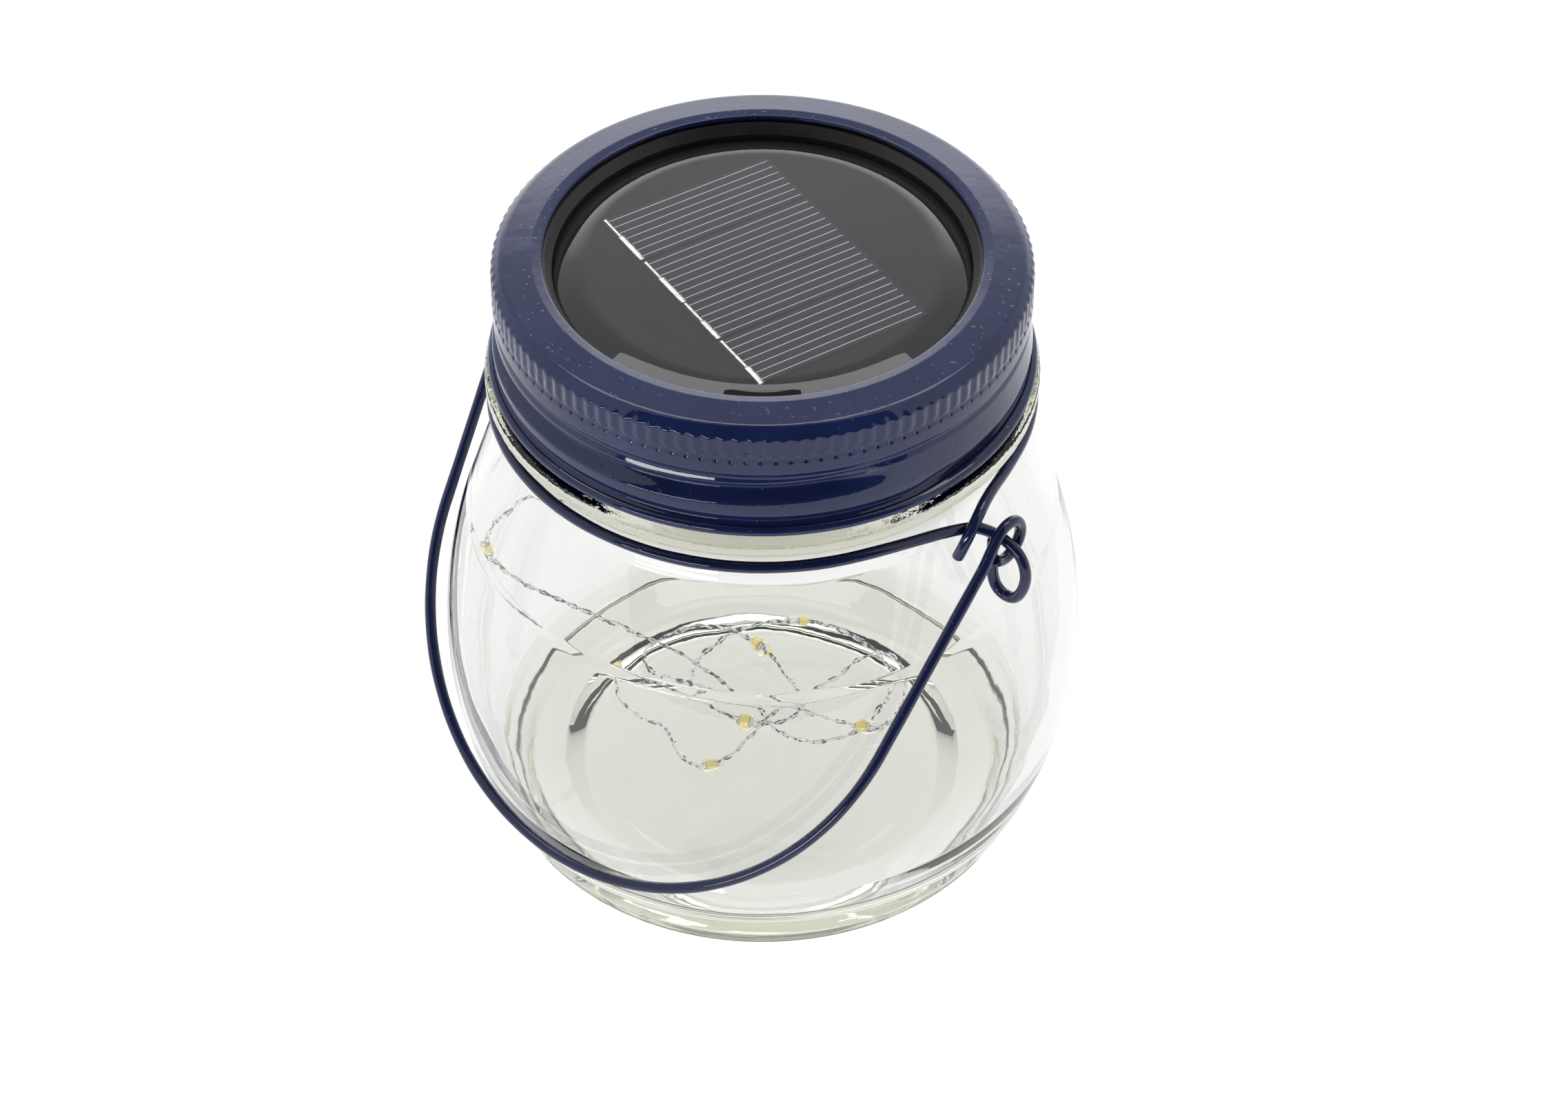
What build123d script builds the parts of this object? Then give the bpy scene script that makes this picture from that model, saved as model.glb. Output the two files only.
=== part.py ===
from build123d import *
import os
from math import acos, atan2, cos, hypot, radians, sin, sqrt, tan

# Solar mason jar lantern: a half-litre glass jar with a wire bail, and a screw-on lid
# that holds a solar panel, its battery and circuit, and a string of fairy lights.
# Millimetres. The origin is on the jar's axis at the plane that it stands on, +Z is up,
# +X is the bail's hinge axis, and the bail rests against the jar on the -Y side.

# ---- driving dimensions --------------------------------------------------------------
# glass jar
GLASS_TOP = 92.9
MOUTH_R = 29.3
FINISH_R = 32.7
THREAD_CREST_R = 33.7
THREAD_PITCH = 5.08
THREAD_TURNS = 1.25
THREAD_START_Z = 82.2
THREAD_HALF_WIDTHS = (1.2, 0.5)
BEAD_R = 37.0
BEAD_Z = 76.9
NECK_R = 35.2
NECK_Z = 74.3
SHOULDER_TOP_Z = 69.4
SHOULDER_LOW_R = 40.45
SHOULDER_LOW_Z = 53.3
BELLY_R = 44.05
BELLY_Z = 31.0
BODY_ARC_R = 59.0
HEEL_Z = 6.5
FOOT_R = 32.2
BEARING_INNER_R = 29.6
PUSH_UP = 3.0
WALL = 2.6
FLOOR_Z = 7.2
FLOOR_R = 27.05

# wires
WIRE_R = 0.8
NECK_WIRE_R = 36.15
NECK_WIRE_Z = 73.1
HINGE_X = 41.5
HINGE_Z = 69.0
EYE_DEPTH = 9.6
CURL_R = 2.9
CURL_SWEEP = 290.0
BAIL_BEND_R = 39.0
BAIL_REACH = 67.9
BAIL_LEAN = 37.4
BAIL_KNEE = 4.0
BAIL_KNEE_R = 20.0
NECK_WIRE_ENDS = (197.0, 345.0)
NECK_WIRE_RUN_OUT = 4.5

# screw band
LID_TOP = 96.0
SHEET = 0.4
OPENING_R = 28.8
KNURL_R = 35.5
KNURL_LOW_Z = 90.8
GROOVE_R = 34.4
GROOVE_Z = 85.0
BULGE_R = 35.8
BULGE_Z = 82.3
CURL_BEAD_R = 0.75
LID_R = 36.5
LID_BOTTOM = 78.4

# solar insert
LID_TURN = 40.0
PANEL_TURN = -57.8
FLANGE_R = 34.4
FLANGE_Z = (94.1, 94.95)
CUP_R = 28.3
CUP_INNER_R = 26.9
BEZEL_R = 27.6
BEZEL_EDGE_Z = 93.7
BEZEL_CHAMFER = 0.9
LEDGE_Z = (90.0, 91.2)
LEDGE_R = 25.6
LEDGE_SLOPE = 1.2
BOSS_R = 2.6
BOSS_TOP_Z = 85.0
BOSS_HOLE_TOP_Z = 83.6
PANEL_R = 27.4
BACKING_Z = (91.2, 92.0)
CELL_LONG = 39.0
CELL_WIDE = 26.0
CELL_THICK = 0.2
STRIPS = (7, 7, 6, 7)
STRIP_GAP = 0.35
FINGER_WIDE = 0.22
FINGER_THICK = 0.05
EPOXY_Z = (92.35, 94.0)
EPOXY_EDGE_R = 0.8
GASKET_Z = (93.05, 94.05)
GASKET_R = (29.7, 33.4)
COVER_Z = (75.6, 77.0)
SCREW_CIRCLE_R = 24.6
SCREW_R = 0.95
SCREW_HEAD_HIGH = 0.8
CROSS_SIZE = (0.4, 2.0, 0.5)
BATTERY_R = 5.0
BATTERY_LONG = 29.0
BATTERY_AT = (9.0, 0.0, 83.6)
BUTTON_R = 1.7
BUTTON_LONG = 1.0
CONTACT_SIZE = (7.0, 0.5, 7.0)
CRADLE_SIZE = (14.0, 38.0, 10.6)
DOOR_SIZE = (13.0, 38.0)
DOOR_AT = (9.0, -1.4)
DOOR_GAP = 0.3
DOOR_SCREW_AT = (9.0, -18.0)
NOTCH_R = 0.8
NOTCH_LONG = 7.0
BOARD_SIZE = (15.0, 22.0, 1.2)
BOARD_AT = (-10.5, 0.0, 80.4)
BOARD_HOLES = ((5.5, 8.0), (5.5, -8.0))
BOARD_HOLE_R = 0.5
CHIP_BODY_SIZE = (4.0, 5.0, 1.4)
CHIP_LEG_SIZE = (6.0, 0.5, 0.25)
CHIP_LEG_PITCH = 1.27
CHIP_OFFSET = (2.5, -3.5)
INDUCTOR_R = 2.6
INDUCTOR_CORE_R = 1.6
INDUCTOR_HIGH = 4.6
INDUCTOR_OFFSET = (-2.5, 5.0)
LEAD_R = 0.45
LEAD_X = 5.5
LEAD_YS = (2.5, 5.0)
SWITCH_AT = (-9.0, -7.0)
SWITCH_SIZE = (4.4, 8.6, 3.4)
SWITCH_TRAVEL = 2.0
SLOT_WIDE = 2.2
SLIDER_SIZE = (1.4, 1.8)
SLIDER_LOW_Z = 74.4
GROMMET_AT = (-16.0, 3.0)
GROMMET_R = 1.7
GROMMET_LOW_Z = 73.6
GROMMET_NOSE_R = (1.1, 2.2)

# fairy string
STRING_R = 0.4
DROP_R = 1.15
DROP_LONG = 3.4
CHIP_SIZE = (0.9, 0.7, 1.1)
FOLD = 0.45

JAR_AXIS = Axis.Z


# ---- helpers -------------------------------------------------------------------------
def save(name, shape, colour):
    """Write one sub-part to its own STEP file."""
    shape.label = name
    shape.color = Color(*colour)
    export_step(shape, f"parts/{name}.step")
    return shape


def lathe(*edges):
    """Revolve a closed profile, drawn as (radius, height), about the jar's axis."""
    return revolve(Plane.XZ * make_face(Curve() + list(edges)), axis=JAR_AXIS)


def ring(inner, outer, low, high):
    """A flat ring, or a disc where inner is 0."""
    tube = Pos(0, 0, low) * Cylinder(outer, high - low, align=(Align.CENTER, Align.CENTER, Align.MIN))
    if inner:
        tube -= Pos(0, 0, low) * Cylinder(inner, high - low, align=(Align.CENTER, Align.CENTER, Align.MIN))
    return tube


def block(size, at, low):
    """A box of size (x, y, z) with its middle over at and its underside at low."""
    return Pos(at[0], at[1], low) * Box(*size, align=(Align.CENTER, Align.CENTER, Align.MIN))


def lid_frame(shape):
    """Turn a piece that is drawn in the lid's own axes to its place on the jar."""
    return Rot(0, 0, LID_TURN) * shape


def tube_along(path, radius):
    """A round wire or tube of the given radius along a path."""
    start = Plane(origin=path @ 0, z_dir=path % 0)
    return sweep(start * Circle(radius), path=path)


def corner_radii(points, share):
    """The largest tangent arc at each corner that uses a share of its shorter run."""
    radii = []
    for before, here, after in zip(points, points[1:], points[2:]):
        arriving = Vector(*here) - Vector(*before)
        leaving = Vector(*after) - Vector(*here)
        half_turn = radians(arriving.get_angle(leaving)) / 2
        shorter = min(arriving.length, leaving.length)
        radii.append(share * shorter / tan(half_turn))
    return radii


# ---- glass ---------------------------------------------------------------------------
def make_glass_jar():
    """The jar: foot, rounded body, cone shoulder, neck, bead and threaded finish."""
    arc_centre = BELLY_R - BODY_ARC_R

    def body_r(height, wall=0.0):
        radius = BODY_ARC_R - wall
        return arc_centre + sqrt(radius**2 - (height - BELLY_Z) ** 2)

    heel = (body_r(HEEL_Z), HEEL_Z)
    shoulder_low = (SHOULDER_LOW_R, SHOULDER_LOW_Z)
    outer_foot = FilletPolyline(
        heel,
        (heel[0] - 1.2, HEEL_Z - 1.4),
        (heel[0] - 1.3, HEEL_Z - 2.9),
        (FOOT_R + 2.4, 0.6),
        (FOOT_R, 0),
        radius=(0.7, 1.2, 3.0),
    )
    outer_body = ThreePointArc(heel, (body_r(18.0), 18.0), (BELLY_R, BELLY_Z))
    outer_shoulder = TangentArc((BELLY_R, BELLY_Z), shoulder_low, tangent=(0, 1))
    outer_neck = FilletPolyline(
        shoulder_low,
        (NECK_R, SHOULDER_TOP_Z),
        (NECK_R, NECK_Z),
        (BEAD_R, BEAD_Z - 1.1),
        (BEAD_R, BEAD_Z + 0.4),
        (FINISH_R + 1.0, BEAD_Z + 1.4),
        (FINISH_R, BEAD_Z + 2.0),
        (FINISH_R, GLASS_TOP),
        (MOUTH_R, GLASS_TOP),
        (MOUTH_R, 79.0),
        (32.3, 69.0),
        (SHOULDER_LOW_R - WALL, SHOULDER_LOW_Z - 0.9),
        radius=(4.0, 0.8, 0.7, 0.7, 0.8, 0.5, 0.9, 0.9, 6.0, 6.0),
    )
    inner_shoulder = TangentArc(
        (BELLY_R - WALL, BELLY_Z), (SHOULDER_LOW_R - WALL, SHOULDER_LOW_Z - 0.9), tangent=(0, 1)
    )
    corner_top = (body_r(17.0, WALL), 17.0)
    inner_body = ThreePointArc((BELLY_R - WALL, BELLY_Z), (body_r(24.0, WALL), 24.0), corner_top)
    corner = TangentArc(corner_top, (FLOOR_R, FLOOR_Z), tangent=inner_body % 1)
    bottom = Polyline((FLOOR_R, FLOOR_Z), (0, FLOOR_Z), (0, PUSH_UP))
    push_up = ThreePointArc((0, PUSH_UP), (16.0, PUSH_UP - 0.45), (BEARING_INNER_R - 2.2, 1.4))
    under_foot = Polyline((BEARING_INNER_R - 2.2, 1.4), (BEARING_INNER_R, 0), (FOOT_R, 0))
    jar = lathe(
        outer_foot, outer_body, outer_shoulder, outer_neck, inner_shoulder,
        inner_body, corner, bottom, push_up, under_foot,
    )
    return jar + make_thread()


def make_thread():
    """The screw thread round the finish, a ridge that is sunk into the glass."""
    sink = 0.5
    root, crest = THREAD_HALF_WIDTHS
    height = THREAD_PITCH * THREAD_TURNS
    path = Helix(pitch=THREAD_PITCH, height=height, radius=FINISH_R, center=(0, 0, THREAD_START_Z))
    depth = THREAD_CREST_R - FINISH_R
    section = Plane(origin=path @ 0, x_dir=(1, 0, 0), z_dir=path % 0) * Polygon(
        (-sink, -root), (depth, -crest), (depth, crest), (-sink, root), align=None
    )
    return sweep(section, path=path, is_frenet=True)


# ---- wires ---------------------------------------------------------------------------
def make_neck_wire():
    """The front half of the neck wire: a hook at -X, round the neck, and the eye at +X."""

    def at(turn, radius, height):
        return (radius * cos(radians(turn)), radius * sin(radians(turn)), height)

    hook_start, eye_start = NECK_WIRE_ENDS
    round_neck = ThreePointArc(
        at(hook_start, NECK_WIRE_R, NECK_WIRE_Z),
        at(270, NECK_WIRE_R, NECK_WIRE_Z),
        at(eye_start, NECK_WIRE_R, NECK_WIRE_Z),
    )
    eye_points = [
        round_neck @ 1,
        round_neck @ 1 + (round_neck % 1) * NECK_WIRE_RUN_OUT,
        (37.2, -2.7, 71.1),
        (39.3, -0.6, 69.9),
        (HINGE_X, 0, HINGE_Z),
        (HINGE_X + 2.7, 0, HINGE_Z - 1.4),
        (HINGE_X + 3.6, 0, HINGE_Z - 5.2),
        (HINGE_X + 1.9, 0, HINGE_Z - EYE_DEPTH),
        (HINGE_X - 1.4, 0, HINGE_Z - EYE_DEPTH + 0.2),
        (HINGE_X - 2.4, 0, HINGE_Z - 5.6),
        (HINGE_X - 2.2, 0, HINGE_Z - 1.0),
    ]
    eye = FilletPolyline(*eye_points, radius=corner_radii(eye_points, FOLD))
    hook_points = [
        round_neck @ 0,
        round_neck @ 0 - (round_neck % 0) * NECK_WIRE_RUN_OUT,
        at(180 + 1.5, 37.4, 73.9),
        at(180 - 5.0, 38.9, 73.0),
        at(180 - 7.5, 38.8, 70.2),
        at(180 - 8.5, 38.2, 67.8),
    ]
    hook = FilletPolyline(*hook_points, radius=corner_radii(hook_points, FOLD))
    return tube_along(Wire([*hook.edges(), round_neck.edge(), *eye.edges()]), WIRE_R)


def bail_plane():
    """The bail's own axes at rest: x is the hinge axis, y runs down the arms."""
    lean = radians(BAIL_LEAN)
    down_arm = (0, -sin(lean), -cos(lean))
    outward = Vector(0, -cos(lean), sin(lean))
    normal = Vector(1, 0, 0).cross(Vector(*down_arm))
    return Plane(origin=(0, 0, HINGE_Z), x_dir=(1, 0, 0), z_dir=normal), outward


def make_bail():
    """The carrying handle: a long U of wire with a closed curl at each end."""
    plane, outward = bail_plane()
    side = 1 if plane.z_dir.dot(outward) > 0 else -1
    lift = side * CURL_R
    centre_y = BAIL_REACH - BAIL_BEND_R
    reach = hypot(HINGE_X, centre_y - BAIL_KNEE)
    angle = atan2(centre_y - BAIL_KNEE, HINGE_X) - acos(BAIL_BEND_R / reach)
    touch = (BAIL_BEND_R * cos(angle), centre_y - BAIL_BEND_R * sin(angle))
    arm = FilletPolyline((HINGE_X, 0, lift), (HINGE_X, BAIL_KNEE, lift), (*touch, lift), radius=BAIL_KNEE_R)
    bend = ThreePointArc((*touch, lift), (0, BAIL_REACH, lift), (-touch[0], touch[1], lift))
    other_arm = mirror(arm, about=Plane.YZ)

    def curl(x):
        points = []
        for share in (1.0, 0.5, 0.0):
            turn = radians(-CURL_SWEEP * share)
            points.append((x, CURL_R * sin(turn), lift * cos(turn)))
        return ThreePointArc(*points)

    path = Wire([
        *curl(HINGE_X).edges(), *arm.edges(), bend.edge(), *other_arm.edges(), *curl(-HINGE_X).edges(),
    ])
    return plane.location * tube_along(path, WIRE_R)


# ---- screw band ----------------------------------------------------------------------
def make_screw_band():
    """The screw band: one thin sheet, with its top ring, knurl, thread and curled edge."""
    half = SHEET / 2
    middle = FilletPolyline(
        (OPENING_R + half, LID_TOP - 0.75),
        (OPENING_R + half, LID_TOP - half),
        (KNURL_R - half, LID_TOP - half),
        (KNURL_R - half, KNURL_LOW_Z),
        (KNURL_R + 0.1, KNURL_LOW_Z - 0.7),
        (KNURL_R + 0.1, 88.4),
        (35.0, 87.2),
        (GROOVE_R - half, GROOVE_Z + 1.0),
        (GROOVE_R - half, GROOVE_Z - 0.8),
        (BULGE_R - half, BULGE_Z + 0.8),
        (BULGE_R - half, BULGE_Z - 0.8),
        (35.1, 80.3),
        (35.3, LID_BOTTOM + 1.0),
        radius=(0.3, 1.4, 0.3, 0.5, 0.8, 0.6, 0.7, 0.7, 0.7, 0.7, 0.6),
    )
    outline = offset(middle, amount=half, side=Side.BOTH)
    shell = revolve(Plane.XZ * make_face(outline), axis=JAR_AXIS)
    bead = Pos(0, 0, LID_BOTTOM + CURL_BEAD_R) * Torus(LID_R - CURL_BEAD_R, CURL_BEAD_R)
    return shell + bead


# ---- solar insert --------------------------------------------------------------------
def make_panel_tray():
    """The moulded cup under the panel, with its flange, ledge and screw bosses."""
    cup = lathe(
        Polyline(
            (BEZEL_R, LEDGE_Z[1]), (BEZEL_R, BEZEL_EDGE_Z), (BEZEL_R + BEZEL_CHAMFER, FLANGE_Z[1]),
            (FLANGE_R, FLANGE_Z[1]),
            (FLANGE_R, FLANGE_Z[0]), (CUP_R, FLANGE_Z[0]), (CUP_R, COVER_Z[1]), (CUP_INNER_R, COVER_Z[1]),
            (CUP_INNER_R, LEDGE_Z[0] - LEDGE_SLOPE), (LEDGE_R, LEDGE_Z[0]), (LEDGE_R, LEDGE_Z[1]),
            (BEZEL_R, LEDGE_Z[1]),
        )
    )
    for x, y in screw_places():
        boss = Pos(x, y, 0) * ring(0, BOSS_R, COVER_Z[1], BOSS_TOP_Z)
        cup += boss - Pos(x, y, 0) * ring(0, SCREW_R + 0.02, COVER_Z[1], BOSS_HOLE_TOP_Z)
    return lid_frame(cup)


def screw_places():
    """The three cover screws, in the lid's axes."""
    turns = (90, 210, 330)
    return [(SCREW_CIRCLE_R * cos(radians(t)), SCREW_CIRCLE_R * sin(radians(t))) for t in turns]


def make_bottom_cover():
    """The disc that closes the cup, with its battery window, switch slot and screw holes."""
    cover = ring(0, CUP_R, *COVER_Z)
    thick = COVER_Z[1] - COVER_Z[0]
    window = block((*DOOR_SIZE, thick), DOOR_AT, COVER_Z[0])
    slot = block((SLOT_WIDE, SWITCH_TRAVEL + 2.8, thick), SWITCH_AT, COVER_Z[0])
    hole = Pos(*GROMMET_AT, 0) * ring(0, GROMMET_R, *COVER_Z)
    cover = cover - window - slot - hole
    for x, y in screw_places():
        cover -= Pos(x, y, 0) * ring(0, SCREW_R + 0.1, *COVER_Z)
        cover -= Pos(x, y, COVER_Z[0] + SCREW_HEAD_HIGH / 2) * Cone(1.95, 1.05, SCREW_HEAD_HIGH)
    return lid_frame(cover)


def screw(head_r, length, low):
    """A countersunk self-tapping screw with a cross recess, head down."""
    head = Pos(0, 0, low + SCREW_HEAD_HIGH / 2) * Cone(head_r, SCREW_R, SCREW_HEAD_HIGH)
    shank = ring(0, SCREW_R - 0.05, low + 0.6, low + length)
    narrow, wide, deep = CROSS_SIZE
    recess = block((narrow, wide, deep), (0, 0), low) + block((wide, narrow, deep), (0, 0), low)
    return head + shank - recess


def make_cover_screws():
    """The three screws that hold the cover to the cup."""
    low = COVER_Z[0] + 0.05
    screws = [Pos(x, y, 0) * screw(1.85, 7.6, low) for x, y in screw_places()]
    return lid_frame(Compound(screws))


def make_solar_cells():
    """Four strips of solar cell, side by side on the backing board."""
    low = BACKING_Z[1]
    strips = [
        block((wide, CELL_WIDE, CELL_THICK), (middle, 0), low) for middle, wide, _ in strip_places()
    ]
    return Rot(0, 0, LID_TURN + PANEL_TURN) * Compound(strips)


def strip_places():
    """Middle, width and number of fingers of each strip along the panel."""
    total = sum(STRIPS)
    usable = CELL_LONG - STRIP_GAP * (len(STRIPS) - 1)
    start = -CELL_LONG / 2
    places = []
    for count in STRIPS:
        wide = usable * count / total
        places.append((start + wide / 2, wide, count))
        start += wide + STRIP_GAP
    return places


def make_busbars():
    """The soldered bar along one end of the four strips."""
    low = BACKING_Z[1] + CELL_THICK
    edge = -CELL_WIDE / 2 + 0.8
    bars = [block((wide - 0.1, 1.0, 0.1), (middle, edge), low) for middle, wide, _ in strip_places()]
    return Rot(0, 0, LID_TURN + PANEL_TURN) * Compound(bars)


def make_fingers():
    """The fine silver lines that collect the current across each strip."""
    low = BACKING_Z[1] + CELL_THICK
    long = CELL_WIDE - 1.9
    lines = []
    for middle, wide, count in strip_places():
        pitch = wide / count
        for n in range(count):
            x = middle - wide / 2 + pitch * (n + 0.5)
            lines.append(block((FINGER_WIDE, long, FINGER_THICK), (x, 0.7), low))
    return Rot(0, 0, LID_TURN + PANEL_TURN) * Compound(lines)


def make_battery():
    """A short rechargeable cell: can, and the button at its plus end."""
    can = fillet(Cylinder(BATTERY_R, BATTERY_LONG).edges(), 0.4)
    button = Pos(0, 0, BATTERY_LONG / 2 + 0.3) * Cylinder(BUTTON_R, BUTTON_LONG)
    return lid_frame(Pos(*BATTERY_AT) * Rot(90, 0, 0) * (can + button))


def make_battery_cradle():
    """The two end walls and side rails that hold the cell over the battery window."""
    inner = (2 * BATTERY_R + 0.4, BATTERY_LONG + 3.0, CRADLE_SIZE[2])
    low = COVER_Z[1]
    frame = block(CRADLE_SIZE, DOOR_AT, low) - block(inner, BATTERY_AT, low)
    x, y = DOOR_SCREW_AT
    return lid_frame(frame - Pos(x, y, 0) * ring(0, SCREW_R + 0.05, low, low + 6.0))


def make_battery_contacts():
    """The plate at the plus end and the sprung leaf at the minus end."""
    x, y, z = BATTERY_AT
    gap = BATTERY_LONG / 2
    plus = Pos(x, y - gap - 1.15, z) * Box(*CONTACT_SIZE)
    minus = Pos(x, y + gap + 1.25, z) * Box(*CONTACT_SIZE)
    minus += Pos(x, y + gap + 0.55, z) * Rot(90, 0, 0) * Cone(2.6, 1.4, 1.0)
    return lid_frame(Compound([plus, minus]))


def make_battery_door():
    """The cover of the battery window, with a finger notch and its screw hole."""
    wide = DOOR_SIZE[0] - 2 * DOOR_GAP
    long = DOOR_SIZE[1] - 2 * DOOR_GAP
    thick = COVER_Z[1] - COVER_Z[0] - 0.2
    door = block((wide, long, thick), DOOR_AT, COVER_Z[0])
    door = fillet(door.edges().filter_by(Axis.Z), 1.0)
    notch_at = (DOOR_AT[0], DOOR_AT[1] + long / 2 - 3.2, COVER_Z[0])
    notch = Pos(*notch_at) * Rot(0, 90, 0) * Cylinder(NOTCH_R, NOTCH_LONG)
    x, y = DOOR_SCREW_AT
    door = door - notch - Pos(x, y, 0) * ring(0, SCREW_R + 0.1, COVER_Z[0] - 1, COVER_Z[1])
    return lid_frame(door - Pos(x, y, COVER_Z[0] + SCREW_HEAD_HIGH / 2) * Cone(1.75, 1.05, SCREW_HEAD_HIGH))


def make_door_screw():
    """The one screw that holds the battery door."""
    return lid_frame(Pos(*DOOR_SCREW_AT, 0) * screw(1.65, 6.2, COVER_Z[0] + 0.05))


def make_circuit_board():
    """The circuit board, which lies over the switch."""
    board = block(BOARD_SIZE, BOARD_AT, BOARD_AT[2])
    holes = [
        Pos(BOARD_AT[0] + dx, dy, 0) * ring(0, BOARD_HOLE_R, BOARD_AT[2], BOARD_AT[2] + BOARD_SIZE[2])
        for dx, dy in BOARD_HOLES
    ]
    return lid_frame(board - holes)


def make_chip():
    """The driver chip: its body and eight legs."""
    top = BOARD_AT[2] + BOARD_SIZE[2]
    x, y = BOARD_AT[0] + CHIP_OFFSET[0], BOARD_AT[1] + CHIP_OFFSET[1]
    body = block(CHIP_BODY_SIZE, (x, y), top + 0.15)
    legs = [block(CHIP_LEG_SIZE, (x, y + CHIP_LEG_PITCH * (n - 1.5)), top) for n in range(4)]
    return lid_frame(body + legs)


def make_inductor():
    """The inductor: a small drum with its winding groove."""
    x, y = BOARD_AT[0] + INDUCTOR_OFFSET[0], BOARD_AT[1] + INDUCTOR_OFFSET[1]
    low = BOARD_AT[2] + BOARD_SIZE[2]
    high = low + INDUCTOR_HIGH
    drum = ring(0, INDUCTOR_R, low, high) - ring(INDUCTOR_CORE_R, INDUCTOR_R, low + 1.0, high - 1.0)
    return lid_frame(Pos(x, y, 0) * drum)


def make_panel_leads():
    """The two wires from the panel's backing down to the circuit board."""
    low = BOARD_AT[2] + BOARD_SIZE[2]
    return lid_frame(Compound([
        Pos(BOARD_AT[0] + LEAD_X, y, 0) * ring(0, LEAD_R, low, BACKING_Z[0]) for y in LEAD_YS
    ]))


def make_switch_body():
    """The slide switch's can, between the cover and the circuit board."""
    can = block(SWITCH_SIZE, SWITCH_AT, COVER_Z[1])
    channel = block((1.6, SWITCH_TRAVEL + 2.2, 1.2), SWITCH_AT, COVER_Z[1])
    return lid_frame(can - channel)


def make_switch_slider():
    """The switch's sliding button, at the end of its slot where the lights are off."""
    y = SWITCH_AT[1] - SWITCH_TRAVEL / 2
    high = COVER_Z[1] + 1.0 - SLIDER_LOW_Z
    stem = block((*SLIDER_SIZE, high), (SWITCH_AT[0], y), SLIDER_LOW_Z)
    return lid_frame(fillet(stem.faces().sort_by(Axis.Z)[0].edges(), 0.25))


def make_grommet():
    """The bush in the cover that the string comes out of."""
    x, y = GROMMET_AT
    bush = ring(0, GROMMET_R - 0.02, *COVER_Z) + ring(0, GROMMET_R + 0.9, COVER_Z[1], COVER_Z[1] + 0.8)
    nose = Pos(0, 0, (GROMMET_LOW_Z + COVER_Z[0]) / 2) * Cone(*GROMMET_NOSE_R, COVER_Z[0] - GROMMET_LOW_Z)
    return lid_frame(Pos(x, y, 0) * (bush + nose))


# ---- fairy string --------------------------------------------------------------------
# The string's route, in the lid's own axes: out of the bush, across to the jar's wall,
# down to the glass floor, and then its loose loops there. Where it passes over itself
# it rises by a little more than its own thickness.
STRING_ROUTE = [
    (*GROMMET_AT, GROMMET_LOW_Z), (-16.0, 3.0, 69.6), (-18.0, 3.0, 64.8), (-22.5, 2.8, 59.2),
    (-28.6, 2.6, 53.6), (-34.6, 2.6, 48.6), (-38.3, 2.9, 42.9), (-37.0, 4.0, 36.6),
    (-31.6, 5.8, 30.8), (-25.2, 7.6, 24.9), (-18.6, 9.8, 18.8), (-12.9, 12.0, 13.2),
    (-8.4, 12.2, 9.0), (-4.0, 8.6, 7.75), (-0.4, 3.2, 7.75), (2.4, -1.5, 7.75),
    (7.6, -3.6, 7.75), (13.4, -1.2, 7.75), (17.5, 4.0, 7.75), (19.6, 9.8, 7.75),
    (18.0, 15.7, 7.8), (14.0, 20.4, 8.1), (8.4, 22.9, 8.55), (1.9, 23.0, 8.55),
    (-4.6, 21.1, 7.9), (-9.0, 16.8, 7.75), (-10.7, 11.4, 7.75), (-9.4, 5.8, 7.8),
    (-5.4, 1.7, 8.3), (0.0, -0.6, 8.95), (4.6, 0.3, 9.0), (6.6, 4.4, 8.9),
    (4.4, 9.4, 8.7), (1.4, 14.8, 8.7), (-2.4, 19.0, 9.1), (-7.6, 21.6, 9.0),
    (-13.4, 20.2, 8.2), (-17.4, 16.4, 8.0), (-16.0, 12.2, 8.3), (-11.2, 9.6, 8.95),
    (-5.0, 7.4, 9.0), (1.4, 5.2, 8.4), (7.4, 2.6, 7.85), (13.0, -0.6, 8.9),
    (17.6, -0.9, 8.9), (20.4, 4.0, 8.3), (21.6, 10.6, 8.4), (19.2, 16.4, 8.9),
    (14.6, 15.4, 9.0), (11.4, 11.0, 9.1), (7.0, 6.2, 10.0), (2.6, 1.8, 10.3),
    (-1.6, -2.8, 9.8), (-5.2, -6.9, 8.6), (-9.9, -8.6, 8.55), (-12.6, -4.4, 8.0),
    (-13.4, -0.2, 7.8), (-17.4, 1.8, 7.8), (-20.8, 5.0, 8.0), (-21.6, 9.6, 8.55),
    (-20.6, 14.2, 8.6),
]
# The runs of the route that carry a light in their middle.
LIGHT_RUNS = (6, 22, 28, 33, 43, 53, 59)


def string_path():
    """The string's centreline: straight runs joined by tangent arcs."""
    return FilletPolyline(*STRING_ROUTE, radius=corner_radii(STRING_ROUTE, FOLD))


def make_light_string():
    """The two fine wires of the string, as one limp tube."""
    return lid_frame(tube_along(string_path(), STRING_R))


def light_planes():
    """A plane at each light, across the string."""
    planes = []
    for run in LIGHT_RUNS:
        start, end = Vector(*STRING_ROUTE[run]), Vector(*STRING_ROUTE[run + 1])
        planes.append(Plane(origin=(start + end) / 2, z_dir=end - start))
    return planes


def make_light_drops():
    """The clear resin drop round each light."""
    drop = fillet(Cylinder(DROP_R, DROP_LONG).edges(), DROP_R * 0.8)
    return lid_frame(Compound([plane.location * drop for plane in light_planes()]))


def make_light_chips():
    """The light itself in each drop."""
    chip = Box(*CHIP_SIZE)
    return lid_frame(Compound([plane.location * chip for plane in light_planes()]))


def make_epoxy_cover():
    """The clear cast face over the cells, rounded at its upper edge."""
    face = ring(0, PANEL_R, *EPOXY_Z)
    return fillet(face.edges().group_by(Axis.Z)[-1], EPOXY_EDGE_R)


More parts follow.
